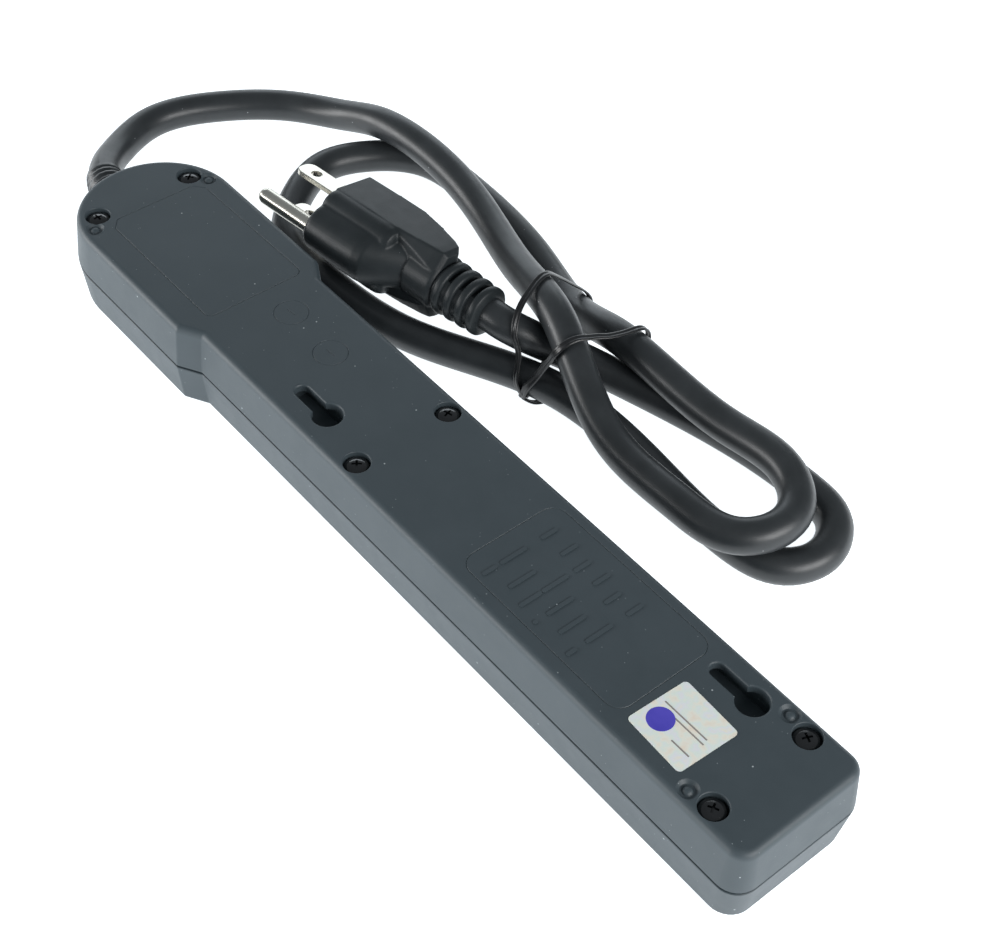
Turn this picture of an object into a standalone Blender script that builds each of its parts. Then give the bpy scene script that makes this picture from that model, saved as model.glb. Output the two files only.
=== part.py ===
"""Slim six-outlet surge protector with its mains lead, lying on its front face.

Metres, +Z up. The case runs along X with the cord end at -X, and its front (outlet) face is the
plane Z = 0. The lead lies on the same surface beside the case, folded once and tied.
"""

import math

import bmesh
import bpy
import numpy as np
from mathutils import Matrix, Vector

# Case
HEAD_END_X = -0.1330
LENGTH = 0.2660
HEAD_WIDTH = 0.0464
BODY_WIDTH = 0.0392
HEIGHT = 0.0253
WALL = 0.0022
FRONT_WALL = 0.0022
SEAM_Z = 0.01255
SEAM_GAP = 0.0003
STEP_START = 0.0660
STEP_RUN = 0.0062
STEP_RADIUS = 0.0014
TAIL_RADIUS = 0.0057
BACK_DRAFT = 0.00125
FRONT_DRAFT = 0.0007
EDGE_RADIUS = 0.0018
CLEARANCE = 0.0003

# Screws through the back cover
SCREW_HEAD_RADIUS = 0.0029
SCREW_HEAD_HEIGHT = 0.0020
SCREW_RADIUS = 0.00145
SCREW_TIP_Z = 0.0048
RECESS_RADIUS = 0.0034
RECESS_DEPTH = 0.0042
BOSS_RADIUS = 0.0043
POST_RADIUS = 0.0037
HEAD_SCREW_X = 0.0156
HEAD_SCREW_Y = 0.0145
MIDDLE_SCREW_X = 0.1311
TAIL_SCREW_FROM_TAIL = 0.0145
BODY_SCREW_Y = 0.0138

# Keyholes for wall hanging: wide circle, narrow slot towards the head
KEYHOLE_RADIUS = 0.0039
KEYHOLE_SLOT = 0.0041
KEYHOLE_TRAVEL = 0.0124
KEYHOLE_1 = (0.1140, -0.0099)
KEYHOLE_2_FROM_TAIL = 0.0280
KEYHOLE_2_Y = 0.0111
POCKET_DEPTH = 0.0040
POCKET_MARGIN = 0.0016
POCKET_WALL = 0.0012

# Outlets
OUTLETS = 6
OUTLET_FIRST = 0.0890
OUTLET_PITCH = 0.0300
BLADE_SPACING = 0.0127
GROUND_OFFSET = 0.0119
SLOT_LENGTH = 0.0074
SLOT_WIDTH = 0.0024
GROUND_HOLE = 0.0056

# Contacts and insulators
BAR_THICKNESS = 0.0008
BAR_WIDTH = 0.0050
GROUND_BAR_WIDTH = 0.0084
LEAF = 0.0006
BLADE_GAP = 0.0021
PIN_GAP = 0.0050
CARRIER_HEIGHT = 0.0102
CARRIER_WIDTH = 0.0186
RETAINER_THICKNESS = 0.0022
BAR_END = 0.0750
CARRIER_START = 0.0790
CARRIER_TAIL_GAP = 0.0070
LEAF_DROP = 0.0080
GROUND_LEAF_DROP = 0.0100

# Switch
SWITCH_X = 0.0390
SWITCH_LENGTH = 0.0276
SWITCH_WIDTH = 0.0128
SWITCH_WALL = 0.0012
SWITCH_DEPTH = 0.0170
BEZEL_MARGIN = 0.0013
BEZEL_THICKNESS = 0.0012
DISH_DEPTH = 0.0026
DISH_MARGIN = 0.0040
DISH_FLOOR = 0.0024
PIVOT_Z = 0.0054
PIVOT_RADIUS = 0.0012
ROCKER_HALF = 0.0118
ROCKER_WIDTH = 0.0096
ROCKER_TILT = math.radians(7.5)
ROCKER_FACE = 0.0016
ROCKER_BACK = 0.0022
ARM_RISE = 0.0074
ARM_HALF = 0.0078
ARM_TILT = math.radians(6.0)
ARM_THICKNESS = 0.0008
TERMINAL_SPACING = 0.0090
TERMINAL_WIDTH = 0.0063
TERMINAL_THICKNESS = 0.0008
TERMINAL_TOP = 0.0194

# Surge board
BOARD_LENGTH = 0.0340
BOARD_WIDTH = 0.0106
BOARD_THICKNESS = 0.0016
BOARD_Z = 0.0053
BOARD_START = 0.0290
BOARD_Y = 0.0096
VARISTOR_RADIUS = 0.0052
VARISTOR_THICKNESS = 0.0042
VARISTOR_PITCH = 0.0110
LENS_RADIUS = 0.0020

# Cord, strain relief, plug and tie
CORD_RADIUS = 0.0047
CORD_STEP = 0.0113
BOOT_LENGTH = 0.0120
BOOT_ROOT_RADIUS = 0.0066
BOOT_TIP_RADIUS = 0.0056
NECK_RADIUS = 0.0059
FLANGE_RADIUS = 0.0080
FLANGE_LENGTH = 0.0040
WIRE_RADIUS = 0.0013
LEAD_RADIUS = 0.0007
TIE_RADIUS = 0.0005
TIE_KNOT_X = -0.0105
TIE_LOOPS = (-0.0265, 0.0015)
TIE_KNOT_ANGLE = math.radians(208)
TIE_STRANDS_Y = (0.040, 0.082)
BLADE_THICKNESS = 0.00152
BLADE_WIDTH = 0.00635
BLADE_LENGTH = 0.0175
PIN_RADIUS = 0.00238
PIN_LENGTH = 0.0203
BLADE_HOLE_RADIUS = 0.0016
PLUG_LENGTH = 0.0385
PLUG_BOOT_END = 0.0545
PLUG_ORIGIN = (-0.0842, 0.0425, 0.0188)
PLUG_X = (-0.9905, -0.1361, 0.0215)
PLUG_Y = (0.1373, -0.9620, 0.2362)

# The lead's route from the case to the plug, chosen by hand
ROUTE = (
    (-0.1330, 0.0000, 0.0126), (-0.1469, 0.0037, 0.0106), (-0.1631, 0.0180, 0.0057),
    (-0.1692, 0.0330, 0.0051), (-0.1638, 0.0537, 0.0049), (-0.1504, 0.0713, 0.0051),
    (-0.1341, 0.0791, 0.0079), (-0.1188, 0.0809, 0.0135), (-0.0805, 0.0815, 0.0142),
    (-0.0387, 0.0684, 0.0174), (-0.0133, 0.0597, 0.0222), (0.0179, 0.0490, 0.0126),
    (0.0482, 0.0463, 0.0132), (0.0636, 0.0491, 0.0140), (0.0686, 0.0565, 0.0147),
    (0.0674, 0.0658, 0.0149), (0.0573, 0.0734, 0.0152), (0.0357, 0.0740, 0.0135),
    (-0.0052, 0.0735, 0.0147), (-0.0232, 0.0771, 0.0077), (-0.0508, 0.0855, 0.0048),
    (-0.0870, 0.0896, 0.0048), (-0.1050, 0.0870, 0.0048), (-0.1164, 0.0753, 0.0048),
    (-0.1202, 0.0626, 0.0049), (-0.1133, 0.0468, 0.0048), (-0.0992, 0.0343, 0.0049),
    (-0.0808, 0.0321, 0.0048), (-0.0467, 0.0364, 0.0052), (-0.0072, 0.0526, 0.0065),
    (0.0240, 0.0555, 0.0050), (0.0600, 0.0533, 0.0049), (0.0722, 0.0573, 0.0048),
    (0.0767, 0.0677, 0.0052), (0.0706, 0.0781, 0.0057), (0.0601, 0.0804, 0.0056),
    (0.0450, 0.0802, 0.0050), (0.0063, 0.0710, 0.0061), (-0.0141, 0.0596, 0.0115),
    (-0.0250, 0.0506, 0.0175), (-0.0299, 0.0500, 0.0176),
)

TAIL_X = HEAD_END_X + LENGTH
HEAD_CENTRE_X = HEAD_END_X + HEAD_WIDTH / 2
BACK_INNER_Z = HEIGHT - WALL

BLACK = (0.012, 0.013, 0.014)
GREY = (0.045, 0.058, 0.066)
BRASS = (0.62, 0.47, 0.20)
NICKEL = (0.62, 0.60, 0.56)
FINISHES = {
    "case": (GREY, 0.55, 0.0),
    "black_plastic": (BLACK, 0.40, 0.0),
    "cord": (BLACK, 0.35, 0.0),
    "nickel": (NICKEL, 0.25, 1.0),
    "brass": (BRASS, 0.30, 1.0),
    "steel": ((0.35, 0.36, 0.38), 0.30, 1.0),
    "red_lens": ((0.60, 0.03, 0.02), 0.20, 0.0),
    "green_lens": ((0.05, 0.55, 0.12), 0.20, 0.0),
    "board": ((0.55, 0.42, 0.16), 0.55, 0.0),
    "blue_disc": ((0.02, 0.08, 0.35), 0.35, 0.0),
    "white_wire": ((0.75, 0.74, 0.70), 0.45, 0.0),
    "green_wire": ((0.03, 0.25, 0.06), 0.45, 0.0),
    "ceramic": ((0.70, 0.62, 0.45), 0.50, 0.0),
    "insulator": ((0.60, 0.60, 0.57), 0.55, 0.0),
    "lamp_glass": ((0.80, 0.55, 0.40), 0.10, 0.0),
    "foil": ((0.62, 0.66, 0.74), 0.25, 0.8),
}


# ---------------------------------------------------------------- scene and helpers

def clear_scene():
    for obj in list(bpy.data.objects):
        bpy.data.objects.remove(obj, do_unlink=True)
    for collection in list(bpy.data.collections):
        bpy.data.collections.remove(collection)


def make_collection(name):
    collection = bpy.data.collections.new(name)
    bpy.context.scene.collection.children.link(collection)
    return collection


def material(node, finish):
    color, roughness, metallic = FINISHES[finish]
    made = bpy.data.materials.new(node)
    made.use_nodes = True
    shader = made.node_tree.nodes["Principled BSDF"]
    shader.inputs["Base Color"].default_value = (*color, 1.0)
    shader.inputs["Roughness"].default_value = roughness
    shader.inputs["Metallic"].default_value = metallic
    return made


def add_object(name, data, finish=None):
    """A named object: a visible part with its own material, or a hidden cutter when finish is None."""
    obj = bpy.data.objects.new(name, data)
    if finish is None:
        CUTTERS.objects.link(obj)
        obj.hide_render = True
        obj.display_type = "WIRE"
    else:
        PARTS.objects.link(obj)
        data.materials.append(material(name, finish))
    return obj


def mesh_from(name, build):
    mesh = bpy.data.meshes.new(name)
    shape = bmesh.new()
    build(shape)
    bmesh.ops.recalc_face_normals(shape, faces=shape.faces)
    shape.to_mesh(mesh)
    shape.free()
    return mesh


def boxes(name, spans, finish=None):
    """One object made of axis-aligned boxes, each given by its low and high corner."""
    def build(shape):
        for low, high in spans:
            low, high = Vector(low), Vector(high)
            size = Matrix.Diagonal((*(high - low), 1.0))
            place = Matrix.Translation((low + high) / 2) @ size
            bmesh.ops.create_cube(shape, size=1.0, matrix=place)
    return add_object(name, mesh_from(name, build), finish)


def cylinders(name, places, finish=None, segments=24, axis="Z"):
    """One object made of cylinders: each place is (start point, radius, length) along the axis."""
    turn = {"Z": Matrix.Identity(4), "X": Matrix.Rotation(math.pi / 2, 4, "Y"),
            "Y": Matrix.Rotation(-math.pi / 2, 4, "X")}[axis]
    along = {"Z": Vector((0, 0, 1)), "X": Vector((1, 0, 0)), "Y": Vector((0, 1, 0))}[axis]

    def build(shape):
        for start, radius, length in places:
            place = Matrix.Translation(Vector(start) + along * length / 2) @ turn
            bmesh.ops.create_cone(shape, cap_ends=True, segments=segments, radius1=radius,
                                  radius2=radius, depth=length, matrix=place)
    return add_object(name, mesh_from(name, build), finish)


def cut(target, cutter, operation="DIFFERENCE"):
    modifier = target.modifiers.new(f"{operation.lower()}_{cutter.name}", "BOOLEAN")
    modifier.operation = operation
    modifier.object = cutter
    modifier.solver = "EXACT"


def join(target, piece):
    cut(target, piece, "UNION")


def turned(name, profile, finish=None, segments=20):
    """A turned solid from (radius, z) points that run from its top to its bottom."""
    mesh = bpy.data.meshes.new(name)
    points = [(radius, 0.0, z) for radius, z in profile]
    mesh.from_pydata(points, [(i, i + 1) for i in range(len(points) - 1)], [])
    obj = add_object(name, mesh, finish)
    screw = obj.modifiers.new("turn", "SCREW")
    screw.steps = segments
    screw.render_steps = segments
    screw.use_merge_vertices = True
    screw.merge_threshold = 0.00001
    screw.use_smooth_shade = True
    return obj


def fillet(points, segments=4):
    """Corners (x, y, radius) of a polygon, each rounded by an arc of its radius."""
    rounded = []
    for i, (x, y, radius) in enumerate(points):
        here = Vector((x, y))
        before = (Vector(points[i - 1][:2]) - here).normalized()
        after = (Vector(points[(i + 1) % len(points)][:2]) - here).normalized()
        if radius <= 0:
            rounded.append((x, y))
            continue
        half = before.angle(after) / 2
        centre = here + (before + after).normalized() * radius / math.sin(half)
        start = here + before * radius / math.tan(half) - centre
        end = here + after * radius / math.tan(half) - centre
        sweep = start.angle_signed(end)
        for step in range(segments + 1):
            spoke = start.copy()
            spoke.rotate(Matrix.Rotation(-sweep * step / segments, 2))
            rounded.append(tuple(centre + spoke))
    return rounded


def loft(name, rings, finish=None):
    """A closed solid through rings of 3-D points that all have the same count."""
    def build(shape):
        rows = [[shape.verts.new(point) for point in ring] for ring in rings]
        for low, high in zip(rows, rows[1:]):
            for i, corner in enumerate(low):
                j = (i + 1) % len(low)
                shape.faces.new((corner, low[j], high[j], high[i]))
        shape.faces.new(list(reversed(rows[0])))
        shape.faces.new(rows[-1])
    return add_object(name, mesh_from(name, build), finish)


def tube(name, points, radius, finish, resolution=2, radii=None):
    curve = bpy.data.curves.new(name, "CURVE")
    curve.dimensions = "3D"
    spline = curve.splines.new("POLY")
    spline.points.add(len(points) - 1)
    for i, point in enumerate(points):
        spline.points[i].co = (*point, 1.0)
        spline.points[i].radius = 1.0 if radii is None else radii[i] / radius
    curve.bevel_depth = radius
    curve.bevel_resolution = resolution
    curve.use_fill_caps = True
    return add_object(name, curve, finish)


def smooth_path(points, spacing):
    """Points a given spacing apart on a natural cubic spline through the given ones."""
    knots = np.array(points, float)
    at = np.r_[0.0, np.cumsum(np.linalg.norm(np.diff(knots, axis=0), axis=1))]
    step = np.diff(at)
    count = len(knots)
    system = np.zeros((count, count))
    right = np.zeros((count, 3))
    system[0, 0] = system[-1, -1] = 1.0
    for i in range(1, count - 1):
        system[i, i - 1:i + 2] = step[i - 1], 2 * (step[i - 1] + step[i]), step[i]
        right[i] = 6 * ((knots[i + 1] - knots[i]) / step[i] - (knots[i] - knots[i - 1]) / step[i - 1])
    bend = np.linalg.solve(system, right)
    samples = np.linspace(0.0, at[-1], max(2, round(at[-1] / spacing) + 1))
    i = np.clip(np.searchsorted(at, samples) - 1, 0, count - 2)
    width = step[i][:, None]
    left = (at[i + 1] - samples)[:, None]
    done = (samples - at[i])[:, None]
    return ((bend[i] * left ** 3 + bend[i + 1] * done ** 3) / (6 * width)
            + (knots[i] / width - bend[i] * width / 6) * left
            + (knots[i + 1] / width - bend[i + 1] * width / 6) * done)


# ---------------------------------------------------------------- case

def case_outline(inset, z):
    """The plan of the case, drawn in by inset: round head, a step each side, rounded tail."""
    head = HEAD_WIDTH / 2 - inset
    body = BODY_WIDTH / 2 - inset
    lean = math.atan2(HEAD_WIDTH / 2 - BODY_WIDTH / 2, STEP_RUN)
    shift = inset * math.tan(lean / 2)
    start_x = HEAD_END_X + STEP_START - shift
    end_x = HEAD_END_X + STEP_START + STEP_RUN - shift
    tail_x = TAIL_X - inset
    tail_radius = max(TAIL_RADIUS - inset, 0.0008)
    arc = [(HEAD_CENTRE_X + head * math.cos(angle), head * math.sin(angle), 0.0)
           for angle in np.linspace(math.pi / 2, 3 * math.pi / 2, 29)]
    corners = arc + [
        (start_x, -head, STEP_RADIUS), (end_x, -body, STEP_RADIUS),
        (tail_x, -body, tail_radius), (tail_x, body, tail_radius),
        (end_x, body, STEP_RADIUS), (start_x, head, STEP_RADIUS)]
    return [(x, y, z) for x, y in fillet(corners)]


def screw_places():
    head_x = HEAD_END_X + HEAD_SCREW_X
    middle_x = HEAD_END_X + MIDDLE_SCREW_X
    tail_x = TAIL_X - TAIL_SCREW_FROM_TAIL
    return [(head_x, HEAD_SCREW_Y), (head_x, -HEAD_SCREW_Y), (middle_x, -BODY_SCREW_Y),
            (middle_x, BODY_SCREW_Y), (tail_x, BODY_SCREW_Y), (tail_x, -BODY_SCREW_Y)]


def keyhole_places():
    return [(HEAD_END_X + KEYHOLE_1[0], KEYHOLE_1[1]), (TAIL_X - KEYHOLE_2_FROM_TAIL, KEYHOLE_2_Y)]


def outlet_x():
    return [HEAD_END_X + OUTLET_FIRST + OUTLET_PITCH * i for i in range(OUTLETS)]


def cord_notch():
    return cylinders("cord_notch", [((HEAD_END_X - 0.002, 0, SEAM_Z), NECK_RADIUS + CLEARANCE,
                                     0.002 + WALL * 2)], axis="X")


def back_cover(notch):
    low = SEAM_Z + SEAM_GAP / 2
    slope = BACK_DRAFT / (HEIGHT - low)
    shoulder = HEIGHT - EDGE_RADIUS
    outer = [case_outline(0.0, low), case_outline(slope * (shoulder - low), shoulder),
             case_outline(BACK_DRAFT + EDGE_RADIUS * 0.3, HEIGHT - EDGE_RADIUS * 0.3),
             case_outline(BACK_DRAFT + EDGE_RADIUS, HEIGHT)]
    inner = [case_outline(WALL + slope * (BACK_INNER_Z - low), BACK_INNER_Z), case_outline(WALL, low)]
    cover = loft_shell("back_cover", outer, inner)
    places = screw_places()
    top = HEIGHT - WALL / 2
    join(cover, cylinders("back_bosses", [((x, y, low), BOSS_RADIUS, top - low) for x, y in places]))
    blocks, hollows, slots = [], [], []
    reach = KEYHOLE_RADIUS + POCKET_MARGIN
    for x, y in keyhole_places():
        sides = (x - KEYHOLE_TRAVEL - reach, x + reach, y - reach + 0.0006, y + reach - 0.0006)
        skin = POCKET_WALL
        blocks.append(((sides[0], sides[2], BACK_INNER_Z - POCKET_DEPTH - skin),
                       (sides[1], sides[3], top)))
        hollows.append(((sides[0] + skin, sides[2] + skin, BACK_INNER_Z - POCKET_DEPTH),
                        (sides[1] - skin, sides[3] - skin, BACK_INNER_Z)))
        slots.append(((x - KEYHOLE_TRAVEL + KEYHOLE_SLOT / 2, y - KEYHOLE_SLOT / 2,
                       BACK_INNER_Z - POCKET_DEPTH / 2),
                      (x, y + KEYHOLE_SLOT / 2, HEIGHT + 0.001)))
    join(cover, boxes("keyhole_pockets", blocks))
    cut(cover, boxes("keyhole_hollows", hollows))
    cut(cover, boxes("keyhole_slots", slots))
    rounds = []
    for x, y in keyhole_places():
        bottom = BACK_INNER_Z - POCKET_DEPTH / 2
        rounds.append(((x, y, bottom), KEYHOLE_RADIUS, HEIGHT + 0.001 - bottom))
    cut(cover, cylinders("keyhole_rounds", rounds))
    ends = [((x - KEYHOLE_TRAVEL + KEYHOLE_SLOT / 2, y, BACK_INNER_Z - POCKET_DEPTH / 2),
             KEYHOLE_SLOT / 2, 0.01) for x, y in keyhole_places()]
    cut(cover, cylinders("keyhole_ends", ends, segments=16))
    bottom = HEIGHT - RECESS_DEPTH
    cut(cover, cylinders("screw_recesses", [((x, y, bottom), RECESS_RADIUS, 0.01) for x, y in places]))
    shank = SCREW_RADIUS + CLEARANCE
    cut(cover, cylinders("screw_passages", [((x, y, low - 0.001), shank, bottom - low + 0.002)
                                            for x, y in places], segments=16))
    cut(cover, notch)
    return cover


def loft_shell(name, outer, inner):
    """A tray: outer rings from rim to face, then inner rings from face back to rim."""
    def build(shape):
        rings = outer + inner
        rows = [[shape.verts.new(point) for point in ring] for ring in rings]
        count = len(rows[0])
        links = [(k, k + 1) for k in range(len(rows) - 1) if k != len(outer) - 1]
        links.append((len(rows) - 1, 0))
        for a, b in links:
            for i in range(count):
                j = (i + 1) % count
                shape.faces.new((rows[a][i], rows[a][j], rows[b][j], rows[b][i]))
        shape.faces.new(rows[len(outer) - 1])
        shape.faces.new(rows[len(outer)])
    return add_object(name, mesh_from(name, build), "case")


def front_cover(notch):
    high = SEAM_Z - SEAM_GAP / 2
    outer = [case_outline(0.0, high), case_outline(FRONT_DRAFT, EDGE_RADIUS),
             case_outline(FRONT_DRAFT + EDGE_RADIUS * 0.3, EDGE_RADIUS * 0.3),
             case_outline(FRONT_DRAFT + EDGE_RADIUS, 0.0)]
    inner = [case_outline(WALL + FRONT_DRAFT, FRONT_WALL), case_outline(WALL, high)]
    cover = loft_shell("front_cover", outer, inner)
    posts = [((x, y, FRONT_WALL / 2), POST_RADIUS, high - FRONT_WALL / 2) for x, y in screw_places()]
    join(cover, cylinders("front_posts", posts))
    pilots = [((x, y, SCREW_TIP_Z - CLEARANCE * 2), SCREW_RADIUS + CLEARANCE, HEIGHT)
              for x, y in screw_places()]
    cut(cover, cylinders("screw_pilots", pilots, segments=16))
    centre = HEAD_END_X + SWITCH_X
    half_x = SWITCH_LENGTH / 2 + BEZEL_MARGIN + DISH_MARGIN
    half_y = SWITCH_WIDTH / 2 + BEZEL_MARGIN + DISH_MARGIN
    join(cover, boxes("switch_block", [((centre - half_x - DISH_FLOOR, -half_y - WALL / 2, FRONT_WALL / 2),
                                        (centre + half_x + DISH_FLOOR, half_y + WALL / 2,
                                         DISH_DEPTH + DISH_FLOOR))]))
    dish = loft("switch_dish", [
        [(centre + sx * (half_x + grow), sy * (half_y + grow), z)
         for sx, sy in ((-1, -1), (1, -1), (1, 1), (-1, 1))]
        for z, grow in ((-0.001, 0.0006), (DISH_DEPTH, -0.0024))])
    cut(cover, dish)
    hole_x = SWITCH_LENGTH / 2 + CLEARANCE
    hole_y = SWITCH_WIDTH / 2 + CLEARANCE
    cut(cover, boxes("switch_hole", [((centre - hole_x, -hole_y, -0.001), (centre + hole_x, hole_y, 0.01))]))
    slots = [((x - SLOT_LENGTH / 2, side * BLADE_SPACING / 2 - SLOT_WIDTH / 2, -0.001),
              (x + SLOT_LENGTH / 2, side * BLADE_SPACING / 2 + SLOT_WIDTH / 2, FRONT_WALL + 0.001))
             for x in outlet_x() for side in (-1, 1)]
    cut(cover, boxes("blade_slots", slots))
    half = GROUND_HOLE / 2
    flats = [((x + GROUND_OFFSET - half, -half, -0.001), (x + GROUND_OFFSET, half, FRONT_WALL + 0.001))
             for x in outlet_x()]
    cut(cover, boxes("ground_flats", flats))
    arches = [((x + GROUND_OFFSET, 0, -0.001), half, FRONT_WALL + 0.002) for x in outlet_x()]
    cut(cover, cylinders("ground_arches", arches, segments=20))
    x, y = lens_place()
    cut(cover, cylinders("lens_hole", [((x, y, -0.001), LENS_RADIUS + CLEARANCE, 0.006)], segments=20))
    cut(cover, notch)
    return cover


def case_screws():
    head_low = HEIGHT - RECESS_DEPTH + CLEARANCE
    head_high = head_low + SCREW_HEAD_HEIGHT
    profile = [(0.0, head_high), (SCREW_HEAD_RADIUS * 0.55, head_high - SCREW_HEAD_HEIGHT * 0.12),
               (SCREW_HEAD_RADIUS * 0.9, head_high - SCREW_HEAD_HEIGHT * 0.4),
               (SCREW_HEAD_RADIUS, head_low + 0.0004), (SCREW_HEAD_RADIUS, head_low),
               (SCREW_RADIUS, head_low), (SCREW_RADIUS, SCREW_TIP_Z + 0.0015),
               (SCREW_RADIUS * 0.4, SCREW_TIP_Z), (0.0, SCREW_TIP_Z)]
    for i, (x, y) in enumerate(screw_places()):
        screw = turned(f"cover_screw_{i + 1}", profile, "steel", segments=16)
        screw.location = (x, y, 0)


# ---------------------------------------------------------------- contacts

def carrier_span():
    return HEAD_END_X + CARRIER_START, TAIL_X - WALL - CARRIER_TAIL_GAP


def carrier_top():
    return FRONT_WALL + CLEARANCE + CARRIER_HEIGHT


def bar_start_x():
    return HEAD_END_X + BAR_END


def contact_carrier():
    """The insulating tray with a chamber for each pair of contact leaves."""
    low_x, high_x = carrier_span()
    bottom = FRONT_WALL + CLEARANCE
    carrier = boxes("contact_carrier", [((low_x, -CARRIER_WIDTH / 2, bottom),
                                         (high_x, CARRIER_WIDTH / 2, carrier_top()))], "insulator")
    leaf_x = SLOT_LENGTH / 2 + CLEARANCE
    leaf_y = BLADE_GAP / 2 + LEAF + CLEARANCE
    pin = PIN_GAP / 2 + LEAF + CLEARANCE
    chambers = []
    for x in outlet_x():
        for side in (-1, 1):
            y = side * BLADE_SPACING / 2
            chambers.append(((x - leaf_x, y - leaf_y, 0), (x + leaf_x, y + leaf_y, HEIGHT)))
        ground = x + GROUND_OFFSET
        chambers.append(((ground - pin, -pin, 0), (ground + pin, pin, HEIGHT)))
    cut(carrier, boxes("carrier_chambers", chambers))
    return carrier


def line_bar(name, side, finish):
    """A brass strip with, at each outlet, a window for the blade and a leaf on each side of it."""
    y = side * BLADE_SPACING / 2
    z = carrier_top() + CLEARANCE
    high_x = carrier_span()[1] - 0.001
    bar = boxes(name, [((bar_start_x(), y - BAR_WIDTH / 2, z),
                        (high_x, y + BAR_WIDTH / 2, z + BAR_THICKNESS))], finish)
    half = SLOT_LENGTH / 2
    leaves = [((x - half, y + way * (BLADE_GAP + LEAF) / 2 - LEAF / 2, z - LEAF_DROP),
               (x + half, y + way * (BLADE_GAP + LEAF) / 2 + LEAF / 2, z + BAR_THICKNESS / 2))
              for x in outlet_x() for way in (-1, 1)]
    join(bar, boxes(f"{name}_leaves", leaves))
    windows = [((x - half * 0.96, y - BLADE_GAP / 2, z - 0.001),
                (x + half * 0.96, y + BLADE_GAP / 2, z + 0.002))
               for x in outlet_x()]
    cut(bar, boxes(f"{name}_windows", windows))
    return bar


def retainer_z():
    low = carrier_top() + CLEARANCE * 2 + BAR_THICKNESS
    return low, low + RETAINER_THICKNESS


def bus_bar_retainer():
    low_x, high_x = carrier_span()
    low, high = retainer_z()
    plate = boxes("bus_bar_retainer", [((low_x, -CARRIER_WIDTH / 2, low), (high_x, CARRIER_WIDTH / 2, high))],
                  "insulator")
    half = SLOT_LENGTH / 2
    pin = PIN_GAP / 2 + LEAF + CLEARANCE
    windows = []
    for x in outlet_x():
        for side in (-1, 1):
            y = side * BLADE_SPACING / 2
            windows.append(((x - half, y - BLADE_GAP / 2, 0), (x + half, y + BLADE_GAP / 2, HEIGHT)))
        ground = x + GROUND_OFFSET
        windows.append(((ground - pin, -pin, 0), (ground + pin, pin, HEIGHT)))
    cut(plate, boxes("retainer_windows", windows))
    return plate


def ground_bar():
    z = retainer_z()[1] + CLEARANCE
    high_x = carrier_span()[1] - 0.001
    bar = boxes("ground_bus_bar", [((bar_start_x(), -GROUND_BAR_WIDTH / 2, z),
                                    (high_x, GROUND_BAR_WIDTH / 2, z + BAR_THICKNESS))], "brass")
    half = PIN_GAP / 2
    leaves = [((x + GROUND_OFFSET - half, way * (PIN_GAP + LEAF) / 2 - LEAF / 2, z - GROUND_LEAF_DROP),
               (x + GROUND_OFFSET + half, way * (PIN_GAP + LEAF) / 2 + LEAF / 2, z + BAR_THICKNESS / 2))
              for x in outlet_x() for way in (-1, 1)]
    join(bar, boxes("ground_leaves", leaves))
    windows = [((x + GROUND_OFFSET - half * 0.96, -half, z - 0.001),
                (x + GROUND_OFFSET + half * 0.96, half, z + 0.002))
               for x in outlet_x()]
    cut(bar, boxes("ground_windows", windows))
    return bar


# ---------------------------------------------------------------- switch

def switch_centre():
    return HEAD_END_X + SWITCH_X


def switch_housing():
    x = switch_centre()
    half_x, half_y = SWITCH_LENGTH / 2, SWITCH_WIDTH / 2
    bezel_high = DISH_DEPTH - CLEARANCE
    bezel_low = bezel_high - BEZEL_THICKNESS
    top = bezel_low + SWITCH_DEPTH
    body = boxes("switch_housing", [((x - half_x, -half_y, bezel_low), (x + half_x, half_y, top))],
                 "black_plastic")
    join(body, boxes("switch_bezel", [((x - half_x - BEZEL_MARGIN, -half_y - BEZEL_MARGIN, bezel_low),
                                       (x + half_x + BEZEL_MARGIN, half_y + BEZEL_MARGIN, bezel_high))]))
    inner_x, inner_y = half_x - SWITCH_WALL, half_y - SWITCH_WALL
    cut(body, boxes("switch_hollow", [((x - inner_x, -inner_y, -0.001),
                                       (x + inner_x, inner_y, top - SWITCH_WALL))]))
    hole = PIVOT_RADIUS + CLEARANCE
    cut(body, cylinders("pivot_holes", [((x, -half_y - 0.001, PIVOT_Z), hole, SWITCH_WIDTH + 0.002)],
                        axis="Y", segments=16))
    slot_x = TERMINAL_THICKNESS / 2 + CLEARANCE
    slot_y = TERMINAL_WIDTH / 2 + CLEARANCE
    cut(body, boxes("terminal_slots", [((tx - slot_x, -slot_y, top - SWITCH_WALL * 2),
                                        (tx + slot_x, slot_y, top + 0.001)) for tx in terminal_x()]))
    return body


def terminal_x():
    x = switch_centre()
    return [x - TERMINAL_SPACING, x, x + TERMINAL_SPACING]


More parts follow.
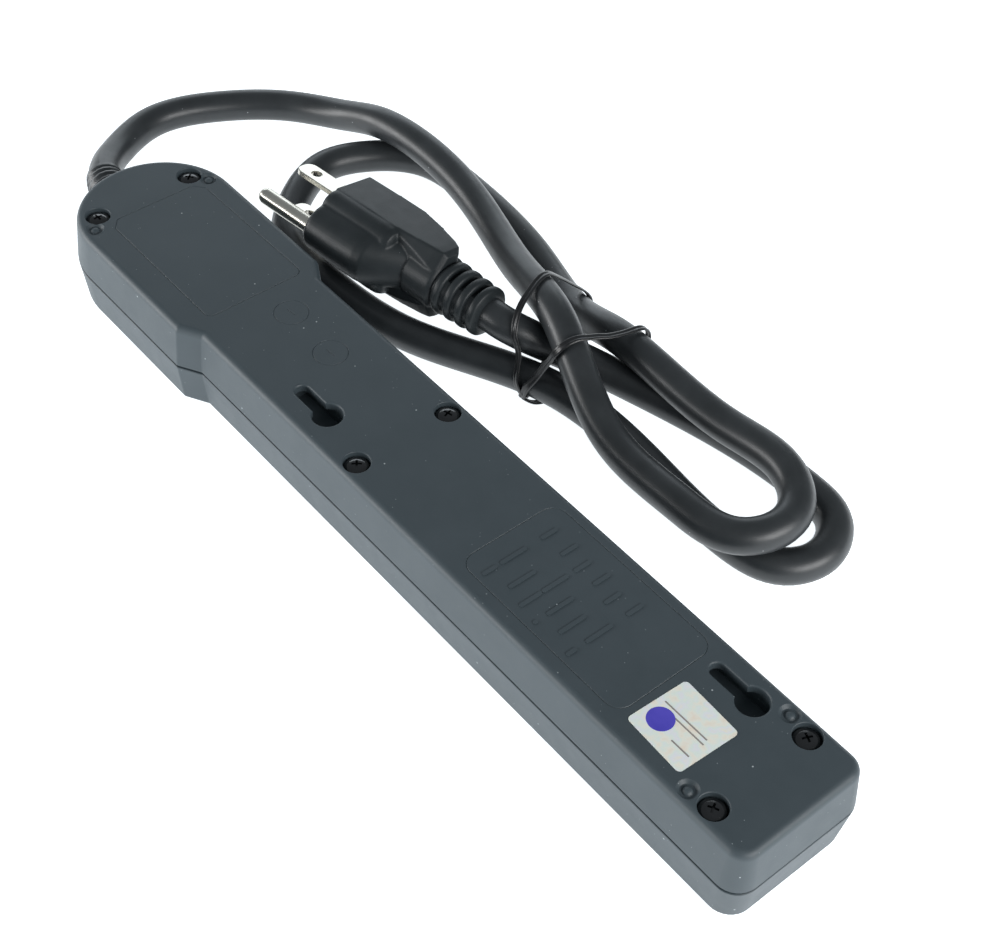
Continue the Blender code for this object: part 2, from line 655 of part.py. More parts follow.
def rocker():
    """The rocker with its two pivot pins, tilted to OFF about the pivot at its origin."""
    pivot = bpy.data.objects.new("rocker_pivot", None)
    pivot.location = (switch_centre(), 0, PIVOT_Z)
    pivot.rotation_euler = (0, -ROCKER_TILT, 0)
    PARTS.objects.link(pivot)
    rise = ROCKER_HALF * math.tan(ROCKER_TILT)
    outline = [(-ROCKER_HALF, -ROCKER_FACE - rise), (0.0, -ROCKER_FACE), (ROCKER_HALF, -ROCKER_FACE - rise),
               (ROCKER_HALF - 0.0006, ROCKER_BACK * 0.6), (ROCKER_HALF * 0.55, ROCKER_BACK),
               (-ROCKER_HALF * 0.55, ROCKER_BACK), (-ROCKER_HALF + 0.0006, ROCKER_BACK * 0.6)]
    half = ROCKER_WIDTH / 2
    body = loft("switch_rocker", [[(x, y, z) for x, z in outline] for y in (-half, half)], "red_lens")
    body.parent = pivot
    pins = cylinders("rocker_pins", [((0, -SWITCH_WIDTH / 2 + CLEARANCE, 0), PIVOT_RADIUS,
                                      SWITCH_WIDTH - CLEARANCE * 2)], axis="Y", segments=16)
    pins.parent = pivot
    join(body, pins)
    return pivot


def plunger_and_spring(pivot):
    low = ROCKER_BACK + CLEARANCE
    tip = ARM_RISE - ARM_THICKNESS / 2 - CLEARANCE * 2
    flange = tip - 0.0016
    plunger = turned("switch_plunger", [(0.0, tip), (0.0006, tip - 0.0002), (0.0010, tip - 0.0008),
                                        (0.0021, flange + 0.0006), (0.0021, flange), (0.0008, flange),
                                        (0.0008, low), (0.0, low)], "insulator", segments=14)
    plunger.parent = pivot
    turns, per_turn, wire = 2.5, 10, 0.00025
    start, end = low + wire, flange - CLEARANCE - wire
    count = int(turns * per_turn)
    coil = [(0.0016 * math.cos(2 * math.pi * i / per_turn), 0.0016 * math.sin(2 * math.pi * i / per_turn),
             start + (end - start) * i / count) for i in range(count + 1)]
    spring = tube("switch_spring", coil, wire, "steel", resolution=1)
    spring.parent = pivot


def contact_arm():
    """The see-saw arm under the plunger, tilted the other way about the middle terminal's edge."""
    pivot = bpy.data.objects.new("arm_pivot", None)
    pivot.location = (switch_centre(), 0, PIVOT_Z + ARM_RISE)
    pivot.rotation_euler = (0, ARM_TILT, 0)
    PARTS.objects.link(pivot)
    arm = boxes("switch_contact_arm", [((-ARM_HALF, -0.0021, -ARM_THICKNESS / 2),
                                        (ARM_HALF, 0.0021, ARM_THICKNESS / 2))], "brass")
    contact = cylinders("arm_contact", [((-ARM_HALF + 0.0014, 0, -ARM_THICKNESS / 4), 0.0012,
                                         ARM_THICKNESS * 1.25)], segments=12)
    arm.parent = pivot
    contact.parent = pivot
    join(arm, contact)


def terminals():
    arm_z = PIVOT_Z + ARM_RISE
    sweep = ARM_HALF * math.sin(ARM_TILT) + ARM_THICKNESS
    lows = [arm_z + sweep + 0.0006, arm_z + ARM_THICKNESS / 2 + CLEARANCE, arm_z + sweep + 0.0006]
    for name, x, low in zip(("line", "load", "lamp"), terminal_x(), lows):
        half = TERMINAL_THICKNESS / 2
        blade = boxes(f"switch_terminal_{name}", [((x - half, -TERMINAL_WIDTH / 2, low),
                                                   (x + half, TERMINAL_WIDTH / 2, TERMINAL_TOP))], "brass")
        cut(blade, cylinders(f"terminal_eye_{name}", [((x - 0.002, 0, TERMINAL_TOP - 0.0012), 0.0006, 0.004)],
                             axis="X", segments=12))


def neon_lamp():
    x = switch_centre()
    cylinders("neon_lamp", [((x + 0.0018, 0.00405, 0.0106), 0.0009, 0.0070)], "lamp_glass",
              axis="X", segments=12)


# ---------------------------------------------------------------- surge board

def board_span():
    low_x = HEAD_END_X + BOARD_START
    return low_x, low_x + BOARD_LENGTH


def lens_place():
    return board_span()[1] - 0.0022, BOARD_Y + BOARD_WIDTH / 2 + 0.0012


def surge_board():
    low_x, high_x = board_span()
    boxes("surge_board", [((low_x, BOARD_Y, BOARD_Z),
                           (high_x, BOARD_Y + BOARD_WIDTH, BOARD_Z + BOARD_THICKNESS))], "board")
    top = BOARD_Z + BOARD_THICKNESS
    y = BOARD_Y + BOARD_WIDTH - VARISTOR_THICKNESS - 0.0004
    first_x = low_x + VARISTOR_RADIUS + 0.0004
    names = ("varistor_line_neutral", "varistor_line_ground", "varistor_neutral_ground")
    for i, name in enumerate(names):
        x = first_x + VARISTOR_PITCH * i
        z = top + CLEARANCE + VARISTOR_RADIUS + 0.0016
        disc = cylinders(name, [((x, y, z), VARISTOR_RADIUS, VARISTOR_THICKNESS)], "blue_disc",
                         axis="Y", segments=24)
        middle = y + VARISTOR_THICKNESS / 2
        legs = [((x + side * 0.0025 - 0.0003, middle - 0.0003, top + CLEARANCE),
                 (x + side * 0.0025 + 0.0003, middle + 0.0003, z)) for side in (-1, 1)]
        join(disc, boxes(f"{name}_legs", legs))
    front_y = BOARD_Y + 0.0022
    cylinders("thermal_fuse", [((low_x + 0.0030, front_y, top + CLEARANCE + 0.0018), 0.0018, 0.0110)],
              "ceramic", axis="X", segments=16)
    turned_z = top + CLEARANCE + 0.0012
    cylinders("lamp_resistor", [((low_x + 0.0190, front_y, turned_z), 0.0012, 0.0062)], "ceramic",
              axis="X", segments=14)
    x, y = lens_place()
    led_low = FRONT_WALL + 0.0008
    cylinders("indicator_led", [((x, y, led_low), 0.0015, BOARD_Z - CLEARANCE - led_low)],
              "green_lens", segments=16)
    cylinders("indicator_lens", [((x, y, CLEARANCE), LENS_RADIUS, FRONT_WALL)], "green_lens", segments=20)


# ---------------------------------------------------------------- wires

def wire(name, points, radius, finish):
    tube(name, smooth_path(points, radius * 3.0), radius, finish)


def inner_wires():
    """Conductors from the cord's end to the switch, the bars and the board."""
    start_x = cord_tail_x() + 0.0010
    line_x, load_x, lamp_x = terminal_x()
    deck = TERMINAL_TOP + CLEARANCE + WIRE_RADIUS
    bar_x = bar_start_x() + 0.0016
    bar_top = carrier_top() + CLEARANCE + BAR_THICKNESS
    bar_z = bar_top + CLEARANCE + WIRE_RADIUS
    bar_y = BLADE_SPACING / 2
    ground_z = retainer_z()[1] + CLEARANCE * 2 + BAR_THICKNESS + WIRE_RADIUS
    side_y = SWITCH_WIDTH / 2 + CLEARANCE + WIRE_RADIUS + 0.0001
    step_x = HEAD_END_X + STEP_START
    wire("line_wire", [
        (start_x, 0, SEAM_Z + 0.0024), (start_x + 0.004, 0, SEAM_Z + 0.0044),
        (line_x - 0.006, 0, deck), (line_x + 0.001, 0, deck)], WIRE_RADIUS, "black_plastic")
    wire("switched_wire", [
        (load_x + 0.0005, 0.0008, deck), (load_x + 0.006, 0.0050, deck),
        (step_x - 0.008, 0.0070, deck - 0.0020), (step_x + 0.001, bar_y, bar_z + 0.0016),
        (bar_x - 0.002, bar_y, bar_z), (bar_x, bar_y, bar_z)], WIRE_RADIUS, "black_plastic")
    wire("neutral_wire", [
        (start_x, -0.0030, SEAM_Z - 0.0006), (start_x + 0.004, -0.0060, SEAM_Z),
        (line_x - 0.006, -side_y, SEAM_Z + 0.0012), (lamp_x + 0.004, -side_y, SEAM_Z + 0.0014),
        (step_x, -bar_y - 0.0002, bar_z), (bar_x, -bar_y, bar_z)], WIRE_RADIUS, "white_wire")
    wire("ground_wire", [
        (start_x, 0.0030, SEAM_Z - 0.0006), (start_x + 0.004, 0.0060, SEAM_Z - 0.0004),
        (line_x - 0.006, side_y, SEAM_Z - 0.0005), (lamp_x + 0.004, side_y, SEAM_Z - 0.0005),
        (lamp_x + 0.014, 0.0035, SEAM_Z + 0.0008), (step_x + 0.003, 0.0004, ground_z - 0.002),
        (bar_x - 0.003, 0, ground_z), (bar_x, 0, ground_z)], WIRE_RADIUS, "green_wire")
    wire("lamp_wire", [
        (lamp_x, -0.0010, deck - WIRE_RADIUS + LEAD_RADIUS), (lamp_x, -0.0042, deck - 0.0004),
        (lamp_x + 0.0004, -side_y + 0.0008, deck - 0.0018),
        (lamp_x + 0.0008, -side_y, SEAM_Z + 0.0042)], LEAD_RADIUS, "white_wire")
    board_top = BOARD_Z + BOARD_THICKNESS + CLEARANCE + LEAD_RADIUS
    high_x = board_span()[1]
    edge_y = BOARD_Y + 0.0014
    lead_z = bar_top + CLEARANCE + LEAD_RADIUS
    wire("board_line_wire", [
        (high_x - 0.0066, edge_y, board_top), (high_x - 0.0050, edge_y, board_top + 0.0022),
        (step_x + 0.003, 0.0098, bar_top), (bar_x, bar_y + 0.0022, lead_z)],
        LEAD_RADIUS, "black_plastic")
    wire("board_neutral_wire", [
        (high_x - 0.0020, edge_y - 0.0002, board_top), (high_x + 0.0012, 0.0040, board_top + 0.0006),
        (step_x + 0.001, -0.0040, SEAM_Z - 0.0022), (bar_x - 0.005, -0.0090, lead_z - 0.0008),
        (bar_x - 0.0016, -bar_y - 0.0024, lead_z + 0.0001), (bar_x, -bar_y - 0.0023, lead_z)],
        LEAD_RADIUS, "white_wire")
    middle = board_span()[0] + 0.0160
    wire("board_ground_wire", [
        (middle, edge_y - 0.0002, board_top), (middle, edge_y - 0.0008, board_top + 0.0010),
        (middle, side_y + 0.0007, SEAM_Z - 0.0005 - WIRE_RADIUS - LEAD_RADIUS)],
        LEAD_RADIUS, "green_wire")


# ---------------------------------------------------------------- cord

def cord_tail_x():
    """Where the jacket ends inside the case."""
    return HEAD_END_X + WALL * 2 + FLANGE_LENGTH + CLEARANCE * 2 + 0.0046


def split_route():
    """The whole route as close points, and the length run at each."""
    fine = smooth_path(ROUTE, 0.0005)
    run = np.r_[0.0, np.cumsum(np.linalg.norm(np.diff(fine, axis=0), axis=1))]
    return fine, run


def route_between(start, end, spacing):
    fine, run = split_route()
    samples = np.linspace(start, end, max(2, round((end - start) / spacing) + 1))
    return np.array([[np.interp(s, run, fine[:, k]) for k in range(3)] for s in samples])


def strain_relief():
    """The flange held in the case and the tapered boot outside, which follows the lead's bend."""
    flange_x = HEAD_END_X + WALL * 1.8
    boot_points = route_between(0.0016, BOOT_LENGTH, 0.0019)
    last = len(boot_points) - 1
    radii = [BOOT_ROOT_RADIUS + (BOOT_TIP_RADIUS - BOOT_ROOT_RADIUS) * i / last for i in range(last + 1)]
    curve = tube("boot_curve", boot_points, BOOT_ROOT_RADIUS, None, resolution=3, radii=radii)
    bpy.context.view_layer.update()
    made = curve.evaluated_get(bpy.context.evaluated_depsgraph_get())
    mesh = bpy.data.meshes.new_from_object(made)
    bpy.data.objects.remove(curve, do_unlink=True)
    shape = bmesh.new()
    shape.from_mesh(mesh)
    bmesh.ops.remove_doubles(shape, verts=shape.verts, dist=0.00001)
    shape.to_mesh(mesh)
    shape.free()
    relief = add_object("cord_strain_relief", mesh, "cord")
    join(relief, cylinders("relief_neck", [((HEAD_END_X - 0.0026, 0, SEAM_Z), NECK_RADIUS,
                                            flange_x - HEAD_END_X + 0.0030)], axis="X"))
    join(relief, cylinders("relief_flange", [((flange_x, 0, SEAM_Z), FLANGE_RADIUS, FLANGE_LENGTH)],
                           axis="X"))
    inner = flange_x + FLANGE_LENGTH + CLEARANCE
    cylinders("cord_inner_end", [((inner, 0, SEAM_Z), CORD_RADIUS, cord_tail_x() - inner)], "cord", axis="X")


def power_cord():
    """The free cord, with closer points near its ends, where it bends most and meets the boots."""
    start = BOOT_LENGTH + CLEARANCE * 2
    end = split_route()[1][-1] - CLEARANCE * 2
    first, last = start + 0.0080, end - 0.0280
    points = np.vstack([route_between(start, first, 0.0027)[:-1],
                        route_between(first, last, CORD_STEP)[:-1],
                        route_between(last, end, 0.0035)])
    tube("power_cord", points, CORD_RADIUS, "cord", resolution=3)


# ---------------------------------------------------------------- plug

def plug_frame():
    along = Vector(PLUG_X).normalized()
    across = Vector(PLUG_Y)
    across = (across - along * across.dot(along)).normalized()
    up = along.cross(across)
    frame = bpy.data.objects.new("plug_frame", None)
    frame.matrix_world = Matrix.Translation(PLUG_ORIGIN) @ Matrix((along, across, up)).transposed().to_4x4()
    PARTS.objects.link(frame)
    return frame


def plug_outline(x, scale=1.0):
    """The shield shape of the plug's front, scaled about a point between the prongs."""
    corners = [(-0.0088, -0.0112, 0.0022), (0.0030, -0.0110, 0.0050), (0.0160, -0.0044, 0.0040),
               (0.0160, 0.0044, 0.0040), (0.0030, 0.0110, 0.0050), (-0.0088, 0.0112, 0.0022)]
    middle = 0.0030
    return [(x, middle + (y - middle) * scale, z * scale) for y, z in fillet(corners, segments=3)]


def plug(frame):
    """The moulded body with its ribbed boot, the insert that holds the prongs, and the prongs."""
    collar_end = -0.0225
    body = loft("plug_body", [plug_outline(0.0), plug_outline(collar_end),
                              plug_outline(collar_end - 0.0040, 0.72)], "cord")
    wing = loft("plug_wing", [
        [(x, -0.0088, -half), (x, top, -half), (x, top, half), (x, -0.0088, half)]
        for x, top, half in ((-0.0010, 0.0040, 0.0106), (-0.0280, 0.0046, 0.0104),
                             (-PLUG_LENGTH, 0.0052, 0.0092))])
    hub = cylinders("plug_hub", [((-PLUG_LENGTH - 0.0005, 0, 0), 0.0082, 0.0200)], axis="X", segments=20)
    rib, groove, core = 0.0026, 0.0014, 0.0057
    z = -PLUG_LENGTH - 0.0012
    profile = [(0.0, -PLUG_LENGTH + 0.002), (0.0074, -PLUG_LENGTH + 0.002), (0.0074, z)]
    for i in range(4):
        outer = 0.0076 - 0.0002 * i
        profile += [(core, z), (core, z - groove), (outer, z - groove), (outer, z - groove - rib)]
        z -= groove + rib
    profile += [(core, z), (core, -PLUG_BOOT_END), (0.0, -PLUG_BOOT_END)]
    boot = turned("plug_boot", profile, None, segments=20)
    boot.rotation_euler = (0, math.pi / 2, 0)
    for piece in (body, wing, hub, boot):
        piece.parent = frame
    for piece in (wing, hub, boot):
        join(body, piece)
    insert_depth = 0.0060
    pocket = loft("insert_pocket", [plug_outline(0.001, 0.80), plug_outline(-insert_depth, 0.80)])
    insert = loft("plug_insert", [plug_outline(-0.0004, 0.77), plug_outline(-insert_depth + CLEARANCE, 0.77)],
                  "black_plastic")
    pocket.parent = insert.parent = frame
    cut(body, pocket)
    root = -insert_depth + CLEARANCE * 2
    half_w, half_t = BLADE_WIDTH / 2 + CLEARANCE, BLADE_THICKNESS / 2 + CLEARANCE
    blade_z = BLADE_SPACING / 2
    sockets = boxes("blade_sockets", [((root - CLEARANCE, -half_w, side * blade_z - half_t),
                                       (0.001, half_w, side * blade_z + half_t)) for side in (-1, 1)])
    socket = cylinders("pin_socket", [((root - CLEARANCE, GROUND_OFFSET, 0), PIN_RADIUS + CLEARANCE, 0.01)],
                       axis="X", segments=20)
    sockets.parent = socket.parent = frame
    cut(insert, sockets)
    cut(insert, socket)
    cut(body, socket)
    return root


def plug_prongs(frame, root):
    for name, side in (("plug_hot_blade", 1), ("plug_neutral_blade", -1)):
        z = side * BLADE_SPACING / 2
        half = BLADE_WIDTH / 2
        corners = [(root, -half, 0.0), (BLADE_LENGTH, -half, 0.0022),
                   (BLADE_LENGTH, half, 0.0022), (root, half, 0.0)]
        outline = fillet(corners, segments=4)
        blade = loft(name, [[(x, y, z + way * BLADE_THICKNESS / 2) for x, y in outline]
                            for way in (-1, 1)], "nickel")
        hole = cylinders(f"{name}_hole", [((GROUND_OFFSET, 0, z - 0.002), BLADE_HOLE_RADIUS, 0.004)],
                         segments=16)
        hole.parent = blade.parent = frame
        cut(blade, hole)
    tip = [(0.0, PIN_LENGTH)]
    for angle in np.linspace(0.3, math.pi / 2, 4):
        tip.append((PIN_RADIUS * math.sin(angle), PIN_LENGTH - PIN_RADIUS * (1 - math.cos(angle))))
    pin = turned("plug_ground_pin", tip + [(PIN_RADIUS, root), (0.0, root)], "nickel", segments=20)
    pin.rotation_euler = (0, math.pi / 2, 0)
    pin.location = (0, GROUND_OFFSET, 0)
    pin.parent = frame


# ---------------------------------------------------------------- tie and sticker

def hull(points):
    """Convex hull of 2-D points, in order."""
    points = sorted(set(points))

    def half(run):
        chain = []
        for p in run:
            while len(chain) > 1 and ((chain[-1][0] - chain[-2][0]) * (p[1] - chain[-2][1])
                                      - (chain[-1][1] - chain[-2][1]) * (p[0] - chain[-2][0])) <= 0:
                chain.pop()
            chain.append(p)
        return chain[:-1]
    return half(points) + half(points[::-1])


def bundle_section(x, reach, fine):
    """(y, z) points on the outlines, reach away, of the strands that cross the plane at x."""
    ahead = fine[:, 0] - x
    ring = []
    for i in np.nonzero(ahead[:-1] * ahead[1:] < 0)[0]:
        if not TIE_STRANDS_Y[0] < fine[i, 1] < TIE_STRANDS_Y[1]:
            continue
        way = Vector(fine[i + 1] - fine[i]).normalized()
        side = way.cross(Vector((0, 0, 1))).normalized()
        rise = side.cross(way)
        for angle in np.linspace(0, 2 * math.pi, 25)[:-1]:
            spoke = (side * math.cos(angle) + rise * math.sin(angle)) * reach
            spoke -= way * (spoke.x / way.x)
            ring.append((float(fine[i, 1]) + spoke.y, float(fine[i, 2]) + spoke.z))
    return ring


def tie_point(x, angle, fine):
    """The point at this angle on a band pulled tight round the bundle, never below the surface."""
    ring = bundle_section(x, CORD_RADIUS * 1.08 + TIE_RADIUS + CLEARANCE, fine)
    outline = hull(ring)
    cy = sum(p[0] for p in outline) / len(outline)
    cz = sum(p[1] for p in outline) / len(outline)
    way = (math.cos(angle), math.sin(angle))
    best = 0.0
    for (ay, az), (by, bz) in zip(outline, outline[1:] + outline[:1]):
        edge = (by - ay, bz - az)
        cross = way[0] * edge[1] - way[1] * edge[0]
        if abs(cross) < 1e-12:
            continue
        far = ((ay - cy) * edge[1] - (az - cz) * edge[0]) / cross
        share = ((ay - cy) * way[1] - (az - cz) * way[0]) / cross
        if far > 0 and -1e-9 <= share <= 1 + 1e-9:
            best = max(best, far)
    return (x, cy + best * way[0], max(cz + best * way[1], TIE_RADIUS + CLEARANCE))


def twist_tie():
    """One wire: two turns round the bundle that meet at the knot, and its two ends beside it."""
    fine, _ = split_route()
    points = []
    for loop in TIE_LOOPS:
        for i in range(27):
            turn = 2 * math.pi * (i + 0.6) / 28
            x = TIE_KNOT_X + (loop - TIE_KNOT_X) * math.sin(turn / 2)
            points.append(tie_point(x, TIE_KNOT_ANGLE - turn, fine))
    tube("twist_tie", smooth_path(points, 0.0030), TIE_RADIUS, "black_plastic")


def foil_sticker():
    x, y, side = TAIL_X - 0.0325, -0.0050, 0.0164
    boxes("seal_sticker", [((x - side / 2, y - side / 2, HEIGHT + 0.00005),
                            (x + side / 2, y + side / 2, HEIGHT + 0.00020))], "foil")


# ---------------------------------------------------------------- assembly

clear_scene()
PARTS = make_collection("surge_protector")
CUTTERS = make_collection("cutters")
NOTCH = cord_notch()
back_cover(NOTCH)
front_cover(NOTCH)
case_screws()
contact_carrier()
line_bar("hot_bus_bar", 1, "brass")
line_bar("neutral_bus_bar", -1, "brass")
bus_bar_retainer()
ground_bar()
switch_housing()
ROCKER = rocker()
plunger_and_spring(ROCKER)
contact_arm()
terminals()
neon_lamp()
surge_board()
inner_wires()
strain_relief()
power_cord()
FRAME = plug_frame()
plug_prongs(FRAME, plug(FRAME))
twist_tie()
foil_sticker()
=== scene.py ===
"""The looks of the surge protector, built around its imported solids. Metres, +Z up."""

import math

import bmesh
import bpy
import numpy as np
from mathutils import Matrix, Vector


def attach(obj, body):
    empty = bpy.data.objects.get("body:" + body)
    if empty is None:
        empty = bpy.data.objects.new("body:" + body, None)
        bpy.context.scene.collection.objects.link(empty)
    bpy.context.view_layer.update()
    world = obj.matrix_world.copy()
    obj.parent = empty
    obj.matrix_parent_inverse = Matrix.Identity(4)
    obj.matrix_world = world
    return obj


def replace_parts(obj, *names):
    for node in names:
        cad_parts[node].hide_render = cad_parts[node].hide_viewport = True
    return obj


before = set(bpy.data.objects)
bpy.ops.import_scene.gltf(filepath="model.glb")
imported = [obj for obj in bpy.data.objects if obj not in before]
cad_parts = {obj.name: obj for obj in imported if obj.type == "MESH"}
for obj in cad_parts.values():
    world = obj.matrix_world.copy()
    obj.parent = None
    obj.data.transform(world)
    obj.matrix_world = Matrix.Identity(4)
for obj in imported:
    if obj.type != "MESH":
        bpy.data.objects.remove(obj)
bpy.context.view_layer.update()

# Case
HEAD_END_X = -0.1330
TAIL_X = 0.1330
HEAD_HALF = 0.0232
BODY_HALF = 0.0196
STEP_START = 0.0660
STEP_RUN = 0.0062
STEP_RADIUS = 0.0014
TAIL_RADIUS = 0.0057
HEIGHT = 0.0253
SEAM_Z = 0.01255
SEAM_GAP = 0.0006
WALL = 0.0022
BACK_DRAFT = 0.00125
BACK_EDGE = 0.0021
FRONT_DRAFT = 0.0014
FRONT_EDGE = 0.0014
SCREWS = ((-0.1174, 0.0145), (-0.1174, -0.0145), (-0.0019, -0.0138),
          (-0.0019, 0.0138), (0.1185, 0.0138), (0.1185, -0.0138))
PIPS = ((-0.1131, 0.0180), (-0.1131, -0.0180), (0.1123, 0.0150), (0.1123, -0.0150))
DIALS = ((-0.0543, 0.0044), (-0.0361, 0.0035))
KEYHOLES = ((-0.0190, -0.0099), (0.1050, 0.0111))
KEYHOLE_RADIUS = 0.0039
KEYHOLE_HALF_SLOT = 0.0020
KEYHOLE_TRAVEL = 0.01035
SCREW_HOLE_RADIUS = 0.0034
OUTLETS = tuple(-0.0440 + 0.0300 * i for i in range(6))
SWITCH_X = -0.0940
LENS = (-0.0722, 0.0161)
BLADE_Z = 0.00635
PIN_Y = 0.0119
BOSS_RADIUS = 0.0043
POST_RADIUS = 0.0037
NOTCH_RADIUS = 0.0063
SCREW_HEAD_RADIUS = 0.0033
SCREW_SHANK_RADIUS = 0.00145
SCREW_TIP_Z = 0.0048
SEAL_CENTRE = (0.1004, -0.0051)
SEAL_HALF = 0.0084
SEAL_TURN = math.radians(-2.6)
SEAL_DISC = (0.0963, -0.0076)
SEAL_BARS = ((0.0014, -0.0068, 0.0058), (0.0000, -0.0050, 0.0062), (-0.0044, 0.0012, 0.0064))
BAR_ROWS = ((0.0425, (0.2, 4.6, 8.8)), (0.0490, (0.0, 6.0)), (0.0545, (0.4, 3.6, 7.4)),
            (0.0600, (0.0, 5.2, 10.2)), (0.0655, (0.8, 5.8)), (0.0710, (0.0, 4.4, 9.4)))
BAR_STEP = 0.0021
BAR_TOP_Y = 0.0105
BAR_LOW_Y = -0.0122

# Cord, plug and tie
CORD_RADIUS = 0.0047
RELIEF_LENGTH = 0.0150
RELIEF_RADIUS = 0.0066
RELIEF_NECK_RADIUS = 0.0059
RELIEF_FLANGE_RADIUS = 0.0080
RELIEF_STEP = 0.0005
RELIEF_INSIDE = 18
EXIT = (-0.1330, 0.0, 0.0126)
ROUTE = (
    (-0.1330, 0.0000, 0.0126), (-0.1469, 0.0037, 0.0106), (-0.1631, 0.0180, 0.0057),
    (-0.1692, 0.0330, 0.0051), (-0.1638, 0.0537, 0.0049), (-0.1504, 0.0713, 0.0051),
    (-0.1341, 0.0791, 0.0079), (-0.1188, 0.0809, 0.0135), (-0.0805, 0.0815, 0.0142),
    (-0.0387, 0.0684, 0.0174), (-0.0133, 0.0597, 0.0222), (0.0179, 0.0490, 0.0126),
    (0.0482, 0.0463, 0.0132), (0.0636, 0.0491, 0.0140), (0.0686, 0.0565, 0.0147),
    (0.0674, 0.0658, 0.0149), (0.0573, 0.0734, 0.0152), (0.0357, 0.0740, 0.0135),
    (-0.0052, 0.0735, 0.0147), (-0.0232, 0.0771, 0.0077), (-0.0508, 0.0855, 0.0048),
    (-0.0870, 0.0896, 0.0048), (-0.1050, 0.0870, 0.0048), (-0.1164, 0.0753, 0.0048),
    (-0.1202, 0.0626, 0.0049), (-0.1133, 0.0468, 0.0048), (-0.0992, 0.0343, 0.0049),
    (-0.0808, 0.0321, 0.0048), (-0.0467, 0.0364, 0.0052), (-0.0072, 0.0526, 0.0065),
    (0.0240, 0.0555, 0.0050), (0.0600, 0.0533, 0.0049), (0.0722, 0.0573, 0.0048),
    (0.0767, 0.0677, 0.0052), (0.0706, 0.0781, 0.0057), (0.0601, 0.0804, 0.0056),
    (0.0450, 0.0802, 0.0050), (0.0063, 0.0710, 0.0061), (-0.0141, 0.0596, 0.0115),
    (-0.0250, 0.0506, 0.0175), (-0.0299, 0.0500, 0.0176),
)
PLUG_ORIGIN = (-0.0842, 0.0425, 0.0188)
PLUG_X = (-0.9905, -0.1361, 0.0215)
PLUG_Y = (0.1373, -0.9620, 0.2362)
TIE_KNOT_X = -0.0105
TIE_LOOPS = (-0.0265, 0.0015)
TIE_KNOT_ANGLE = math.radians(208)


# ---------------------------------------------------------------- helpers

def keep(obj, body="case"):
    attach(obj, body)
    return obj


def new_object(name, data):
    obj = bpy.data.objects.new(name, data)
    bpy.context.scene.collection.objects.link(obj)
    return obj


def mesh_object(name, build):
    mesh = bpy.data.meshes.new(name)
    shape = bmesh.new()
    build(shape)
    bmesh.ops.recalc_face_normals(shape, faces=shape.faces)
    shape.to_mesh(mesh)
    shape.free()
    return new_object(name, mesh)


def loft(name, rings):
    def build(shape):
        add_loft(shape, rings)
    return mesh_object(name, build)


def add_loft(shape, rings):
    rows = [[shape.verts.new(point) for point in ring] for ring in rings]
    for low, high in zip(rows, rows[1:]):
        for i, corner in enumerate(low):
            j = (i + 1) % len(low)
            shape.faces.new((corner, low[j], high[j], high[i]))
    shape.faces.new(list(reversed(rows[0])))
    shape.faces.new(rows[-1])


def add_box(shape, low, high):
    low, high = Vector(low), Vector(high)
    place = Matrix.Translation((low + high) / 2) @ Matrix.Diagonal((*(high - low), 1.0))
    bmesh.ops.create_cube(shape, size=1.0, matrix=place)


def boxes(name, spans):
    def build(shape):
        for low, high in spans:
            add_box(shape, low, high)
    return mesh_object(name, build)


def add_turned(shape, profile, centre=(0, 0, 0), steps=32):
    """A solid of revolution about Z from (radius, z) points; a radius of zero closes an end."""
    rings = []
    for radius, z in profile:
        if radius == 0:
            rings.append([shape.verts.new((centre[0], centre[1], centre[2] + z))])
            continue
        rings.append([shape.verts.new((centre[0] + radius * math.cos(2 * math.pi * i / steps),
                                       centre[1] + radius * math.sin(2 * math.pi * i / steps),
                                       centre[2] + z)) for i in range(steps)])
    for low, high in zip(rings, rings[1:]):
        for i in range(steps):
            j = (i + 1) % steps
            corners = [low[i % len(low)], low[j % len(low)], high[j % len(high)], high[i % len(high)]]
            unique = list(dict.fromkeys(corners))
            shape.faces.new(unique)


def turned(name, profile, centres=((0, 0, 0),), steps=32):
    def build(shape):
        for centre in centres:
            add_turned(shape, profile, centre, steps)
    return mesh_object(name, build)


def boolean(target, tool, operation="DIFFERENCE"):
    modifier = target.modifiers.new(tool.name, "BOOLEAN")
    modifier.operation = operation
    modifier.object = tool
    modifier.solver = "EXACT"
    tool.hide_render = True


def settle(obj, angle=35, tools=()):
    """Replaces the mesh by its evaluated form, shaded round except over sharp edges."""
    bpy.context.view_layer.update()
    made = obj.evaluated_get(bpy.context.evaluated_depsgraph_get())
    mesh = bpy.data.meshes.new_from_object(made)
    shape = bmesh.new()
    shape.from_mesh(mesh)
    bmesh.ops.remove_doubles(shape, verts=shape.verts, dist=0.000002)
    bmesh.ops.dissolve_degenerate(shape, edges=shape.edges, dist=0.000002)
    shape.to_mesh(mesh)
    shape.free()
    obj.modifiers.clear()
    obj.data = mesh
    for tool in tools:
        bpy.data.objects.remove(tool, do_unlink=True)
    mesh.shade_smooth()
    mesh.set_sharp_from_angle(angle=math.radians(angle))
    weighted = obj.modifiers.new("even_normals", "WEIGHTED_NORMAL")
    weighted.keep_sharp = True
    weighted.weight = 90
    return obj


